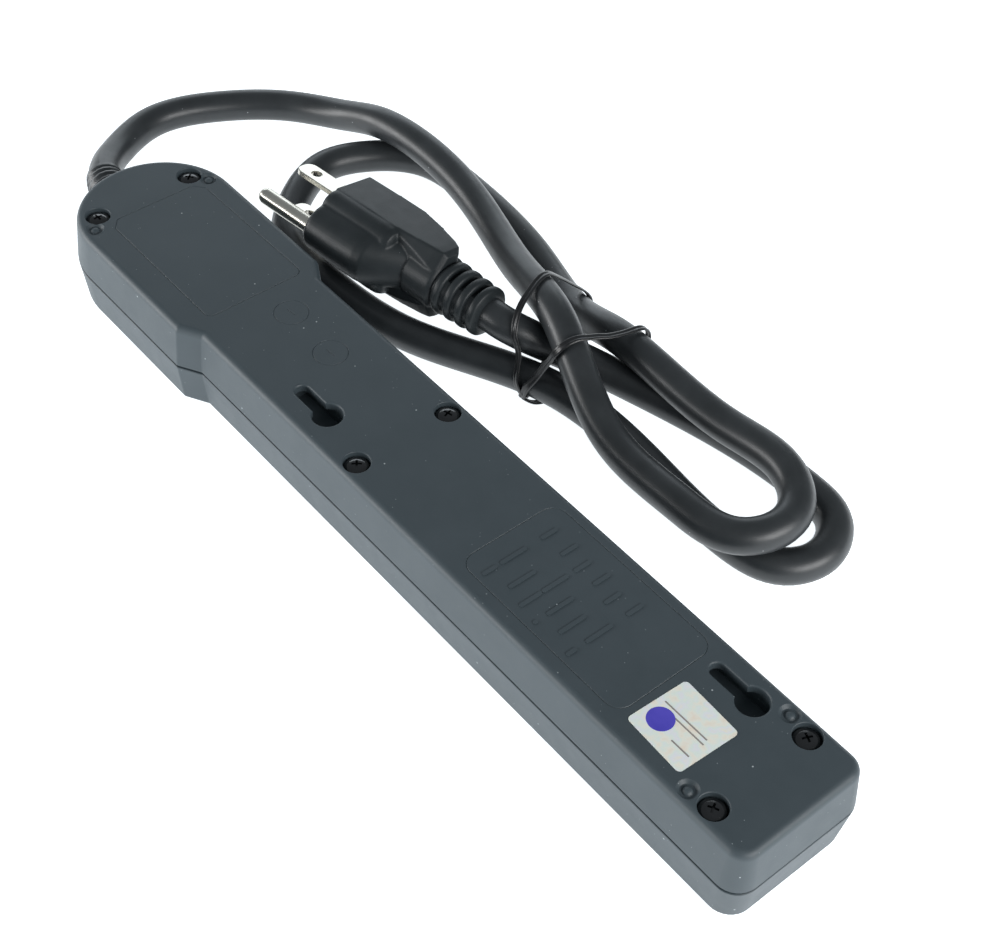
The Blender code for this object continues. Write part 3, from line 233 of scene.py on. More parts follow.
def fillet(points, segments=8):
    """Corners (x, y, radius) of a polygon, each rounded by an arc of its radius."""
    rounded = []
    for i, (x, y, radius) in enumerate(points):
        here = Vector((x, y))
        before = (Vector(points[i - 1][:2]) - here).normalized()
        after = (Vector(points[(i + 1) % len(points)][:2]) - here).normalized()
        if radius <= 0:
            rounded.append((x, y))
            continue
        half = before.angle(after) / 2
        centre = here + (before + after).normalized() * radius / math.sin(half)
        start = here + before * radius / math.tan(half) - centre
        end = here + after * radius / math.tan(half) - centre
        sweep = start.angle_signed(end)
        for step in range(segments + 1):
            spoke = start.copy()
            spoke.rotate(Matrix.Rotation(-sweep * step / segments, 2))
            rounded.append(tuple(centre + spoke))
    return rounded


def smooth_path(points, spacing):
    """Points a given spacing apart on a natural cubic spline through the given ones."""
    knots = np.array(points, float)
    at = np.r_[0.0, np.cumsum(np.linalg.norm(np.diff(knots, axis=0), axis=1))]
    step = np.diff(at)
    count = len(knots)
    system = np.zeros((count, count))
    right = np.zeros((count, 3))
    system[0, 0] = system[-1, -1] = 1.0
    for i in range(1, count - 1):
        system[i, i - 1:i + 2] = step[i - 1], 2 * (step[i - 1] + step[i]), step[i]
        right[i] = 6 * ((knots[i + 1] - knots[i]) / step[i] - (knots[i] - knots[i - 1]) / step[i - 1])
    bend = np.linalg.solve(system, right)
    samples = np.linspace(0.0, at[-1], max(2, round(at[-1] / spacing) + 1))
    i = np.clip(np.searchsorted(at, samples) - 1, 0, count - 2)
    width = step[i][:, None]
    left = (at[i + 1] - samples)[:, None]
    done = (samples - at[i])[:, None]
    return ((bend[i] * left ** 3 + bend[i + 1] * done ** 3) / (6 * width)
            + (knots[i] / width - bend[i] * width / 6) * left
            + (knots[i + 1] / width - bend[i + 1] * width / 6) * done)


def frames_along(path, up):
    """(point, side, normal) at each point of a path, the normal kept nearest to up(point)."""
    path = np.array(path, float)
    tangent = np.gradient(path, axis=0)
    tangent /= np.linalg.norm(tangent, axis=1)[:, None]
    made = []
    for point, way in zip(path, tangent):
        normal = np.array(up(point), float)
        normal -= way * normal.dot(way)
        normal /= np.linalg.norm(normal)
        made.append((point, np.cross(way, normal), normal))
    return made


def sweep(name, path, section, up):
    """A solid that carries a closed (side, normal) section along a path."""
    return loft(name, [[tuple(point + side * u + normal * v) for u, v in section]
                       for point, side, normal in frames_along(path, up)])


# ---------------------------------------------------------------- materials

class Surface:
    """A procedural material built up step by step on one Principled shader."""

    def __init__(self, name, metallic=0.0, roughness=0.5, specular=0.5, coat=0.0):
        self.material = bpy.data.materials.new(name)
        self.material.use_nodes = True
        self.tree = self.material.node_tree
        self.shader = self.tree.nodes["Principled BSDF"]
        self.shader.inputs["Metallic"].default_value = metallic
        self.shader.inputs["Roughness"].default_value = roughness
        self.shader.inputs["Specular IOR Level"].default_value = specular
        self.shader.inputs["Coat Weight"].default_value = coat
        self.place = self.tree.nodes.new("ShaderNodeTexCoord").outputs["Object"]

    def link(self, start, end):
        self.tree.links.new(start, end)

    def noise(self, scale, detail=3.0, roughness=0.55):
        node = self.tree.nodes.new("ShaderNodeTexNoise")
        node.inputs["Scale"].default_value = scale
        node.inputs["Detail"].default_value = detail
        node.inputs["Roughness"].default_value = roughness
        self.link(self.place, node.inputs["Vector"])
        return node.outputs["Fac"]

    def cells(self, scale):
        node = self.tree.nodes.new("ShaderNodeTexVoronoi")
        node.inputs["Scale"].default_value = scale
        self.link(self.place, node.inputs["Vector"])
        return node

    def ramp(self, value, stops):
        node = self.tree.nodes.new("ShaderNodeValToRGB")
        points = node.color_ramp.elements
        while len(points) < len(stops):
            points.new(0.5)
        for point, (at, color) in zip(points, stops):
            point.position = at
            point.color = (*color, 1.0)
        self.link(value, node.inputs["Fac"])
        return node.outputs["Color"]

    def span(self, value, low, high, start=0.0, end=1.0):
        node = self.tree.nodes.new("ShaderNodeMapRange")
        node.inputs["From Min"].default_value = start
        node.inputs["From Max"].default_value = end
        node.inputs["To Min"].default_value = low
        node.inputs["To Max"].default_value = high
        self.link(value, node.inputs["Value"])
        return node.outputs["Result"]

    def times(self, a, b):
        node = self.tree.nodes.new("ShaderNodeMath")
        node.operation = "MULTIPLY"
        self.link(a, node.inputs[0])
        if isinstance(b, float):
            node.inputs[1].default_value = b
        else:
            self.link(b, node.inputs[1])
        return node.outputs[0]

    def mix(self, share, a, b):
        node = self.tree.nodes.new("ShaderNodeMix")
        node.data_type = "RGBA"
        self.link(share, node.inputs["Factor"])
        for color, socket in ((a, node.inputs["A"]), (b, node.inputs["B"])):
            if isinstance(color, tuple):
                socket.default_value = (*color, 1.0)
            else:
                self.link(color, socket)
        return node.outputs["Result"]

    def color(self, value):
        self.link(value, self.shader.inputs["Base Color"])

    def rough(self, value):
        self.link(value, self.shader.inputs["Roughness"])

    def bump(self, height, distance, strength=1.0):
        node = self.tree.nodes.new("ShaderNodeBump")
        node.inputs["Distance"].default_value = distance
        node.inputs["Strength"].default_value = strength
        self.link(height, node.inputs["Height"])
        self.link(node.outputs["Normal"], self.shader.inputs["Normal"])

    def specks(self, scale, size, kept):
        """A mask of small scattered dots: size is their radius as a share of a cell, kept the share of cells."""
        node = self.cells(scale)
        near = self.span(node.outputs["Distance"], 1.0, 0.0, size * 0.6, size)
        chosen = self.tree.nodes.new("ShaderNodeSeparateColor")
        self.link(node.outputs["Color"], chosen.inputs["Color"])
        pick = self.span(chosen.outputs["Red"], 1.0, 0.0, kept, kept + 0.001)
        return self.times(near, pick)


def plain_finish(name, dark, light, roughness=0.4, metallic=0.0, grain=0.00004, scale=900.0,
                 transmission=0.0, coat=0.0):
    """A moulded, drawn or plated finish: gentle mottling, uneven gloss and a fine grain."""
    surface = Surface(name, metallic, roughness, coat=coat)
    surface.color(surface.ramp(surface.noise(scale * 0.12), ((0.3, dark), (0.7, light))))
    surface.rough(surface.span(surface.noise(scale * 0.25), roughness * 0.8, roughness * 1.2))
    surface.bump(surface.noise(scale * 2.5, 4.0), grain, 0.6)
    surface.shader.inputs["Transmission Weight"].default_value = transmission
    return surface.material


def case_finish():
    surface = Surface("case_plastic", 0.0, 0.48, 0.45)
    base = surface.ramp(surface.noise(60.0, 4.0), ((0.3, (0.043, 0.058, 0.067)), (0.7, (0.050, 0.066, 0.076))))
    dust = surface.specks(420.0, 0.10, 0.07)
    fine = surface.specks(1300.0, 0.15, 0.035)
    dusty = surface.mix(dust, base, (0.42, 0.46, 0.48))
    surface.color(surface.mix(fine, dusty, (0.30, 0.34, 0.36)))
    surface.rough(surface.span(surface.noise(240.0), 0.42, 0.56))
    surface.bump(surface.noise(4200.0, 3.0), 0.00003, 0.5)
    return surface.material


def cord_finish():
    surface = Surface("cord_jacket", 0.0, 0.36, 0.5)
    base = surface.ramp(surface.noise(110.0, 5.0), ((0.3, (0.018, 0.021, 0.023)), (0.75, (0.030, 0.034, 0.037))))
    dust = surface.specks(520.0, 0.10, 0.05)
    scuff = surface.span(surface.noise(900.0, 6.0, 0.75), 0.0, 0.35, 0.66, 0.80)
    worn = surface.mix(scuff, base, (0.085, 0.088, 0.090))
    surface.color(surface.mix(dust, worn, (0.40, 0.42, 0.43)))
    surface.rough(surface.span(surface.noise(300.0), 0.30, 0.46))
    surface.bump(surface.noise(2600.0, 3.0), 0.00003, 0.4)
    return surface.material


def plug_finish():
    surface = Surface("plug_rubber", 0.0, 0.42, 0.26)
    base = surface.ramp(surface.noise(90.0, 4.0), ((0.3, (0.016, 0.020, 0.022)), (0.7, (0.024, 0.029, 0.032))))
    dust = surface.specks(640.0, 0.11, 0.05)
    surface.color(surface.mix(dust, base, (0.38, 0.41, 0.43)))
    surface.rough(surface.span(surface.noise(260.0), 0.34, 0.48))
    surface.bump(surface.noise(3400.0, 3.0), 0.00003, 0.5)
    return surface.material


def foil_finish():
    surface = Surface("foil", 0.15, 0.34, 0.6)
    bands = surface.ramp(surface.noise(420.0, 2.0, 0.4),
                         ((0.28, (0.92, 0.80, 0.66)), (0.42, (0.92, 0.90, 0.78)), (0.52, (0.80, 0.91, 0.84)),
                          (0.62, (0.84, 0.86, 0.92)), (0.74, (0.93, 0.88, 0.72))))
    grid = surface.cells(1500.0)
    surface.color(surface.mix(surface.span(grid.outputs["Distance"], 0.0, 0.35), bands, (0.92, 0.91, 0.86)))
    surface.rough(surface.span(surface.noise(420.0), 0.22, 0.42))
    surface.bump(surface.noise(1500.0), 0.00002, 0.4)
    return surface.material


BLACK = (0.008, 0.009, 0.010)
SATIN = (0.016, 0.017, 0.018)
FINISH = {
    "case": case_finish(),
    "cord": cord_finish(),
    "plug": plug_finish(),
    "foil": foil_finish(),
    "gloss_black": plain_finish("gloss_black", (0.004, 0.004, 0.005), BLACK, 0.16, coat=0.5),
    "black": plain_finish("satin_black", BLACK, SATIN, 0.42),
    "tie": plain_finish("tie_plastic", (0.006, 0.006, 0.007), SATIN, 0.30),
    "violet": plain_finish("violet_ink", (0.055, 0.045, 0.42), (0.10, 0.08, 0.55), 0.34),
    "ink": plain_finish("grey_ink", (0.20, 0.18, 0.17), (0.30, 0.27, 0.25), 0.45),
    "nickel": plain_finish("nickel_plate", (0.60, 0.57, 0.50), (0.74, 0.71, 0.64), 0.24, 1.0, 0.00002, 500.0),
    "brass": plain_finish("stamped_brass", (0.60, 0.43, 0.16), (0.74, 0.56, 0.24), 0.28, 1.0),
    "steel": plain_finish("spring_steel", (0.42, 0.43, 0.45), (0.58, 0.59, 0.60), 0.26, 1.0),
    "red": plain_finish("red_lens", (0.50, 0.015, 0.010), (0.62, 0.030, 0.018), 0.14, transmission=0.3),
    "green": plain_finish("green_lens", (0.03, 0.40, 0.08), (0.05, 0.55, 0.12), 0.14, transmission=0.3),
    "board": plain_finish("phenolic_board", (0.36, 0.25, 0.08), (0.46, 0.33, 0.12), 0.50),
    "blue": plain_finish("blue_coating", (0.012, 0.05, 0.28), (0.03, 0.10, 0.42), 0.32),
    "cream": plain_finish("cream_ceramic", (0.60, 0.51, 0.33), (0.72, 0.63, 0.44), 0.45),
    "white": plain_finish("white_insulation", (0.62, 0.61, 0.57), (0.76, 0.75, 0.71), 0.42),
    "green_wire": plain_finish("green_insulation", (0.010, 0.17, 0.035), (0.02, 0.26, 0.06), 0.42),
    "insulator": plain_finish("insulator", (0.50, 0.50, 0.46), (0.62, 0.62, 0.58), 0.52),
    "glass": plain_finish("lamp_glass", (0.80, 0.52, 0.34), (0.90, 0.66, 0.48), 0.08, transmission=0.8),
}
CAD_FINISH = {
    "contact_carrier": "insulator", "bus_bar_retainer": "insulator", "switch_plunger": "insulator",
    "hot_bus_bar": "brass", "neutral_bus_bar": "brass", "ground_bus_bar": "brass",
    "switch_contact_arm": "brass", "switch_terminal_line": "brass", "switch_terminal_load": "brass",
    "switch_terminal_lamp": "brass", "switch_housing": "black", "switch_spring": "steel",
    "neon_lamp": "glass", "surge_board": "board", "varistor_line_neutral": "blue",
    "varistor_line_ground": "blue", "varistor_neutral_ground": "blue", "thermal_fuse": "cream",
    "lamp_resistor": "cream", "indicator_led": "green", "indicator_lens": "green",
    "line_wire": "black", "switched_wire": "black", "neutral_wire": "white", "ground_wire": "green_wire",
    "lamp_wire": "white", "board_line_wire": "black", "board_neutral_wire": "white",
    "board_ground_wire": "green_wire", "cord_inner_end": "cord", "plug_insert": "black",
}


def paint(obj, finish):
    obj.data.materials.clear()
    obj.data.materials.append(FINISH[finish])
    return obj


# ---------------------------------------------------------------- camera, light and floor

def camera():
    data = bpy.data.cameras.new("main_view")
    data.lens = 64.16
    data.sensor_width = 36.0
    data.shift_x = 0.0073
    data.shift_y = -0.0108
    data.clip_start = 0.01
    eye = new_object("main_view", data)
    eye.matrix_world = Matrix(((0.63739, -0.57767, 0.50994, 0.23352),
                               (0.76974, 0.44702, -0.45572, -0.18110),
                               (0.03530, 0.68298, 0.72958, 0.33341),
                               (0.0, 0.0, 0.0, 1.0)))
    bpy.context.scene.camera = eye


def area_light(name, place, aim, size, power, color=(1, 1, 1)):
    data = bpy.data.lights.new(name, "AREA")
    data.shape = "RECTANGLE"
    data.size, data.size_y = size
    data.energy = power
    data.color = color
    lamp = new_object(name, data)
    lamp.location = place
    lamp.rotation_euler = (Vector(aim) - Vector(place)).to_track_quat("-Z", "Y").to_euler()


def studio():
    world = bpy.data.worlds.new("studio")
    world.use_nodes = True
    sky = world.node_tree.nodes["Background"]
    sky.inputs["Color"].default_value = (0.86, 0.94, 1.0, 1.0)
    sky.inputs["Strength"].default_value = 0.26
    bpy.context.scene.world = world
    bpy.context.scene.view_settings.view_transform = "Standard"
    area_light("front_low", (-0.62, -0.76, 0.20), (-0.02, 0, 0.01), (1.1, 0.34), 9.6)
    area_light("back_left", (-0.80, 0.60, 0.30), (0, 0.03, 0), (0.9, 0.4), 2.0, (0.86, 0.94, 1.0))
    area_light("tail_fill", (0.85, 0.10, 0.42), (0.05, 0, 0.01), (0.8, 0.4), 8.0)

    def build(shape):
        bmesh.ops.create_grid(shape, x_segments=1, y_segments=1, size=3.0)
    floor = mesh_object("floor", build)
    floor.location.z = -0.0003
    surface = Surface("white_paper", 0.0, 0.85, 0.1)
    surface.color(surface.ramp(surface.noise(40.0), ((0.2, (0.93, 0.95, 0.97)), (0.8, (0.95, 0.97, 0.99)))))
    surface.shader.inputs["Emission Color"].default_value = (0.92, 0.97, 1.0, 1.0)
    surface.shader.inputs["Emission Strength"].default_value = 1.0
    floor.data.materials.append(surface.material)


# ---------------------------------------------------------------- case

def case_outline(inset, z, keep_radius=False):
    head = HEAD_HALF - inset
    body = BODY_HALF - inset
    lean = math.atan2(HEAD_HALF - BODY_HALF, STEP_RUN)
    shift = inset * math.tan(lean / 2)
    start_x = HEAD_END_X + STEP_START - shift
    end_x = start_x + STEP_RUN
    tail_x = TAIL_X - inset
    tail_radius = TAIL_RADIUS if keep_radius else max(TAIL_RADIUS - inset, 0.0008)
    arc = [(HEAD_END_X + HEAD_HALF + head * math.cos(angle), head * math.sin(angle), 0.0)
           for angle in np.linspace(math.pi / 2, 3 * math.pi / 2, 73)]
    corners = arc + [
        (start_x, -head, STEP_RADIUS), (end_x, -body, STEP_RADIUS),
        (tail_x, -body, tail_radius), (tail_x, body, tail_radius),
        (end_x, body, STEP_RADIUS), (start_x, head, STEP_RADIUS)]
    return [(x, y, z) for x, y in fillet(corners)]


def tray(name, outer, inner):
    """Outer rings from rim to face, then inner rings from face back to rim."""
    def build(shape):
        rings = outer + inner
        rows = [[shape.verts.new(point) for point in ring] for ring in rings]
        count = len(rows[0])
        links = [(k, k + 1) for k in range(len(rows) - 1) if k != len(outer) - 1]
        links.append((len(rows) - 1, 0))
        for a, b in links:
            for i in range(count):
                j = (i + 1) % count
                shape.faces.new((rows[a][i], rows[a][j], rows[b][j], rows[b][i]))
        shape.faces.new(rows[len(outer) - 1])
        shape.faces.new(rows[len(outer)])
    return mesh_object(name, build)


def keyhole_outline(x, y, grow, z):
    """A wide circle with a round-ended slot towards -X, all grown by the same amount."""
    wide, half = KEYHOLE_RADIUS + grow, KEYHOLE_HALF_SLOT + grow
    meet = math.asin(half / wide)
    ring = [(x + wide * math.cos(angle), y + wide * math.sin(angle), z)
            for angle in np.linspace(-math.pi + meet, math.pi - meet, 41)]
    end = x - KEYHOLE_TRAVEL
    ring += [(end + half * math.cos(angle), y + half * math.sin(angle), z)
             for angle in np.linspace(math.pi / 2, 3 * math.pi / 2, 21)]
    return ring


def groove(shape, path, width, depth, closed=True):
    """A V-shaped groove cutter along a flat path on the back face."""
    points = [Vector((*point, HEIGHT)) for point in path]
    rings = []
    for i, point in enumerate(points):
        before = points[i - 1] if closed or i else point
        after = points[(i + 1) % len(points)] if closed or i + 1 < len(points) else point
        way = (after - before).normalized()
        side = Vector((-way.y, way.x, 0)) * width / 2
        rise = Vector((0, 0, depth))
        rings.append([point - side * 1.6 + rise * 0.6, point - rise, point + side * 1.6 + rise * 0.6])
    rows = [[shape.verts.new(corner) for corner in ring] for ring in rings]
    pairs = zip(rows, rows[1:] + rows[:1]) if closed else zip(rows, rows[1:])
    for low, high in pairs:
        for i in range(3):
            j = (i + 1) % 3
            shape.faces.new((low[i], low[j], high[j], high[i]))
    if not closed:
        shape.faces.new(list(reversed(rows[0])))
        shape.faces.new(rows[-1])


def circle(centre, radius, steps=48):
    return [(centre[0] + radius * math.cos(2 * math.pi * i / steps),
             centre[1] + radius * math.sin(2 * math.pi * i / steps)) for i in range(steps)]


def flare(radius, bottom, rim=0.00030, steps=4):
    """A hole cutter whose mouth opens in a small arc at the back face."""
    arc = [(radius + rim * (1 - math.cos(angle)), HEIGHT - rim + rim * math.sin(angle))
           for angle in np.linspace(0, math.pi / 2, steps + 1)]
    return ([(0, bottom), (radius, bottom)] + arc[:-1]
            + [(radius + rim, HEIGHT + 0.00002), (radius + rim, HEIGHT + 0.001), (0, HEIGHT + 0.001)])


def cord_notch():
    """The cutter for the round opening that the cord leaves through."""
    return mesh_object("cord_notch", lambda shape: bmesh.ops.create_cone(
        shape, cap_ends=True, segments=40, radius1=NOTCH_RADIUS, radius2=NOTCH_RADIUS, depth=0.0080,
        matrix=Matrix.Translation((HEAD_END_X, 0, SEAM_Z)) @ Matrix.Rotation(math.pi / 2, 4, "Y")))


def back_cover():
    low = SEAM_Z + SEAM_GAP / 2
    slope = BACK_DRAFT / (HEIGHT - low)
    shoulder = HEIGHT - BACK_EDGE
    outer = [case_outline(0.00015, low), case_outline(0.0, low + 0.00015)]
    outer.append(case_outline(slope * (shoulder - low), shoulder))
    for angle in np.linspace(0, math.pi / 2, 9)[1:]:
        outer.append(case_outline(slope * (shoulder - low) + BACK_EDGE * (1 - math.cos(angle)),
                                  shoulder + BACK_EDGE * math.sin(angle)))
    inner = [case_outline(WALL + BACK_DRAFT, HEIGHT - WALL), case_outline(WALL, low)]
    cover = tray("back_shell", outer, inner)
    screw_places = [(x, y, 0) for x, y in SCREWS]
    bosses = turned("back_bosses", [(0, low), (BOSS_RADIUS, low), (BOSS_RADIUS, HEIGHT - 0.0012),
                                    (0, HEIGHT - 0.0012)], screw_places)
    pockets, hollows = [], []
    for x, y in KEYHOLES:
        pockets.append(((x - 0.0155, y - 0.0049, 0.0179), (x + 0.0055, y + 0.0049, HEIGHT - 0.0011)))
        hollows.append(((x - 0.0143, y - 0.0037, 0.0191), (x + 0.0043, y + 0.0037, 0.0231)))
    pocket = boxes("keyhole_pockets", pockets)
    hollow = boxes("keyhole_hollows", hollows)
    mouths = mesh_object("keyhole_mouths", lambda shape: [
        add_loft(shape, [keyhole_outline(x, y, 0.0, HEIGHT - 0.004), keyhole_outline(x, y, 0.0, HEIGHT - 0.0006),
                         keyhole_outline(x, y, 0.0001, HEIGHT - 0.0003),
                         keyhole_outline(x, y, 0.0003, HEIGHT - 0.0001),
                         keyhole_outline(x, y, 0.0006, HEIGHT + 0.00002),
                         keyhole_outline(x, y, 0.0006, HEIGHT + 0.001)]) for x, y in KEYHOLES])
    holes = turned("screw_holes", flare(SCREW_HOLE_RADIUS, HEIGHT - 0.0042), screw_places, 40)
    shanks = turned("shank_holes", [(0, low - 0.001), (0.0018, low - 0.001), (0.0018, 0.0215), (0, 0.0215)],
                    screw_places)
    dimple = [(0, HEIGHT - 0.00004), (0.0005, HEIGHT - 0.00012), (0.0009, HEIGHT - 0.00034),
              (0.0013, HEIGHT - 0.00078), (0.0018, HEIGHT - 0.00074), (0.0022, HEIGHT - 0.00030),
              (0.0026, HEIGHT + 0.00003), (0.0026, HEIGHT + 0.001), (0, HEIGHT + 0.001)]
    pips = turned("pip_cutters", dimple, [(x, y, 0) for x, y in PIPS])

    def build_marks(shape):
        for x, y in DIALS:
            groove(shape, circle((x, y), 0.0045), 0.00026, 0.00013)
            groove(shape, [(x - 0.0015, y - 0.0002), (x + 0.0015, y + 0.0002)], 0.00026, 0.00013, False)
        plate = fillet([(-0.1130, 0.0126, 0.0012), (-0.1101, 0.0152, 0.0012), (-0.0653, 0.0157, 0.0020),
                        (-0.0653, -0.0135, 0.0020), (-0.1101, -0.0135, 0.0012), (-0.1130, -0.0110, 0.0012)], 3)
        groove(shape, plate, 0.00030, 0.00016)
        tail = fillet([(0.0367, 0.0149, 0.0040), (0.0898, 0.0149, 0.0040), (0.0898, -0.0139, 0.0040),
                       (0.0367, -0.0139, 0.0040)])
        groove(shape, tail, 0.00030, 0.00016)
    marks = mesh_object("engraved_marks", build_marks)
    notch = cord_notch()
    boolean(cover, bosses, "UNION")
    boolean(cover, pocket, "UNION")
    tools = [hollow, mouths, holes, shanks, pips, marks, notch]
    for tool in tools:
        boolean(cover, tool)
    settle(cover, 32, [bosses, pocket, *tools])
    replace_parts(paint(keep(cover), "case"), "back_cover")


def front_cover():
    high = SEAM_Z - SEAM_GAP / 2
    outer = [case_outline(0.00015, high, True), case_outline(0.0, high - 0.00015, True)]
    shoulder = FRONT_DRAFT * (high - FRONT_EDGE) / high
    outer.append(case_outline(shoulder, FRONT_EDGE, True))
    for angle in np.linspace(0, math.pi / 2, 7)[1:]:
        outer.append(case_outline(shoulder + FRONT_EDGE * (1 - math.cos(angle)),
                                  FRONT_EDGE * (1 - math.sin(angle)), True))
    inner = [case_outline(WALL + FRONT_DRAFT, WALL), case_outline(WALL, high)]
    cover = tray("front_shell", outer, inner)
    screw_places = [(x, y, 0) for x, y in SCREWS]
    posts = turned("front_posts", [(0, 0.0011), (POST_RADIUS, 0.0011), (POST_RADIUS, high), (0, high)],
                   screw_places)
    pilots = turned("pilot_holes", [(0, 0.0042), (0.00175, 0.0042), (0.00175, 0.02), (0, 0.02)],
                    screw_places)
    block = boxes("switch_block", [((SWITCH_X - 0.0215, -0.0128, 0.0011), (SWITCH_X + 0.0215, 0.0128, 0.0050))])

    def rounded(half_x, half_y, radius, z):
        return [(SWITCH_X + x, y, z) for x, y in fillet([(-half_x, half_y, radius), (half_x, half_y, radius),
                                                         (half_x, -half_y, radius), (-half_x, -half_y, radius)])]
    dish = loft("switch_dish", [rounded(0.0203, 0.0128, 0.0040, -0.001), rounded(0.0197, 0.0122, 0.0036, 0.00002),
                                rounded(0.0191, 0.0116, 0.0032, 0.0005), rounded(0.0172, 0.0096, 0.0022, 0.0026)])
    hole = loft("switch_hole", [rounded(0.0141, 0.0067, 0.0003, -0.001), rounded(0.0141, 0.0067, 0.0003, 0.01)])

    def slots(shape):
        for x in OUTLETS:
            for side in (-1, 1):
                y = side * 0.00635
                rings = []
                for z, grow in ((-0.001, 0.0006), (0.0, 0.0005), (0.0005, 0.0), (0.004, 0.0)):
                    half_x, half_y = 0.0037 + grow, 0.0012 + grow
                    rings.append([(x + u, y + v, z) for u, v in ((-half_x, -half_y), (half_x, -half_y),
                                                                 (half_x, half_y), (-half_x, half_y))])
                add_loft(shape, rings)
            rings = []
            for z, grow in ((-0.001, 0.0006), (0.0, 0.0005), (0.0005, 0.0), (0.004, 0.0)):
                half = 0.0028 + grow
                arch = [(x + PIN_Y + half * math.cos(a), half * math.sin(a), z)
                        for a in np.linspace(-math.pi / 2, math.pi / 2, 17)]
                rings.append(arch + [(x + PIN_Y - half, half, z), (x + PIN_Y - half, -half, z)])
            add_loft(shape, rings)
    openings = mesh_object("outlet_openings", slots)
    lens_hole = turned("lens_hole", [(0, -0.001), (0.0026, -0.001), (0.0023, 0.0003), (0.0023, 0.006), (0, 0.006)],
                       [(*LENS, 0)])
    notch = cord_notch()
    boolean(cover, posts, "UNION")
    boolean(cover, block, "UNION")
    tools = [pilots, dish, hole, openings, lens_hole, notch]
    for tool in tools:
        boolean(cover, tool)
    settle(cover, 32, [posts, block, *tools])
    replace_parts(paint(keep(cover), "case"), "front_cover")


def screws():
    top = HEIGHT - 0.0004
    profile = [(0, top)]
    for angle in np.linspace(0.15, math.pi / 2, 8):
        profile.append((SCREW_HEAD_RADIUS * math.sin(angle), top - 0.0016 * (1 - math.cos(angle))))
    profile += [(SCREW_HEAD_RADIUS, top - 0.0030), (SCREW_SHANK_RADIUS, top - 0.0034),
                (SCREW_SHANK_RADIUS, SCREW_TIP_Z + 0.0015), (0.0006, SCREW_TIP_Z), (0, SCREW_TIP_Z)]
    for i, (x, y) in enumerate(SCREWS):
        screw = turned(f"case_screw_{i + 1}", profile, [(x, y, 0)], 36)
        half, arm = 0.00030, 0.00140
        plus = [(arm, -half), (arm, half), (half, half), (half, arm), (-half, arm), (-half, half), (-arm, half),
                (-arm, -half), (-half, -half), (-half, -arm), (half, -arm), (half, -half)]
        cross = loft("drive_cross", [[(u * size, v * size, z) for u, v in plus]
                                     for z, size in ((-0.0011, 0.8), (0.001, 1.0))])
        cross.location = (x, y, top)
        cross.rotation_euler.z = 0.7 + 0.9 * i
        boolean(screw, cross)
        settle(screw, 40, [cross])
        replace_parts(paint(keep(screw), "gloss_black"), f"cover_screw_{i + 1}")


def plate_bars():
    """Rows of plain raised bars where the case carries moulded wording."""
    def build(shape):
        for row, (x, starts) in enumerate(BAR_ROWS):
            for k, start in enumerate(starts):
                y = BAR_TOP_Y - start * BAR_STEP
                length = min(0.0050 + 0.0014 * ((row * 3 + k * 2) % 3), y - BAR_LOW_Y)
                ring = fillet([(x, y, 0.00045), (x + 0.0010, y, 0.00045), (x + 0.0010, y - length, 0.00045),
                               (x, y - length, 0.00045)], 4)
                add_loft(shape, [[(u, v, z) for u, v in ring] for z in (HEIGHT - 0.0003, HEIGHT + 0.00018)])
    bars = mesh_object("plate_bars", build)
    settle(bars, 40)
    paint(keep(bars), "case")


def sticker():
    """The foil square with a plain disc and three plain bars on it."""
    centre = Vector(SEAL_CENTRE)

    def rounded(half, z):
        ring = fillet([(-half, half, 0.0011), (half, half, 0.0011), (half, -half, 0.0011), (-half, -half, 0.0011)])
        spin = Matrix.Rotation(SEAL_TURN, 2)
        return [(*(spin @ Vector(point) + centre), z) for point in ring]
    top = HEIGHT + 0.00012
    sheet = loft("foil_seal", [rounded(SEAL_HALF - 0.0001, HEIGHT + 0.00001), rounded(SEAL_HALF, HEIGHT + 0.00004),
                               rounded(SEAL_HALF, top - 0.00003), rounded(SEAL_HALF - 0.0001, top)])
    settle(sheet, 50)
    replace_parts(paint(keep(sheet), "foil"), "seal_sticker")
    disc = turned("seal_disc", [(0, top), (0.00315, top), (0.00312, top + 0.00004), (0, top + 0.00004)],
                  [(*SEAL_DISC, 0)], 48)
    settle(disc, 40)
    paint(keep(disc), "violet")

    def build(shape):
        for y, start, end in SEAL_BARS:
            add_box(shape, (centre.x + start, centre.y + y - 0.00018, top - 0.00002),
                    (centre.x + end, centre.y + y + 0.00018, top + 0.00003))
    bars = mesh_object("seal_bars", build)
    settle(bars, 40)
    paint(keep(bars), "ink")


def rocker():
    body = bpy.data.objects["switch_rocker"]
    paint(body, "red")
    edge = body.modifiers.new("soft_edges", "BEVEL")
    edge.width = 0.0004
    edge.segments = 3
    edge.limit_method = "ANGLE"


# ---------------------------------------------------------------- cord

def split_route():
    fine = smooth_path(ROUTE, 0.0005)
    run = np.r_[0.0, np.cumsum(np.linalg.norm(np.diff(fine, axis=0), axis=1))]
    return fine, run


def route_between(start, end, spacing):
    fine, run = split_route()
    samples = np.linspace(start, end, max(2, round((end - start) / spacing) + 1))
    return np.array([[np.interp(s, run, fine[:, k]) for k in range(3)] for s in samples])


def tube(name, points, radius, radii=None):
    curve = bpy.data.curves.new(name, "CURVE")
    curve.dimensions = "3D"
    spline = curve.splines.new("POLY")
    spline.points.add(len(points) - 1)
    for i, point in enumerate(points):
        spline.points[i].co = (*point, 1.0)
        spline.points[i].radius = 1.0 if radii is None else radii[i] / radius
    spline.use_smooth = True
    curve.bevel_depth = radius
    curve.bevel_resolution = 8
    curve.use_fill_caps = True
    return new_object(name, curve)


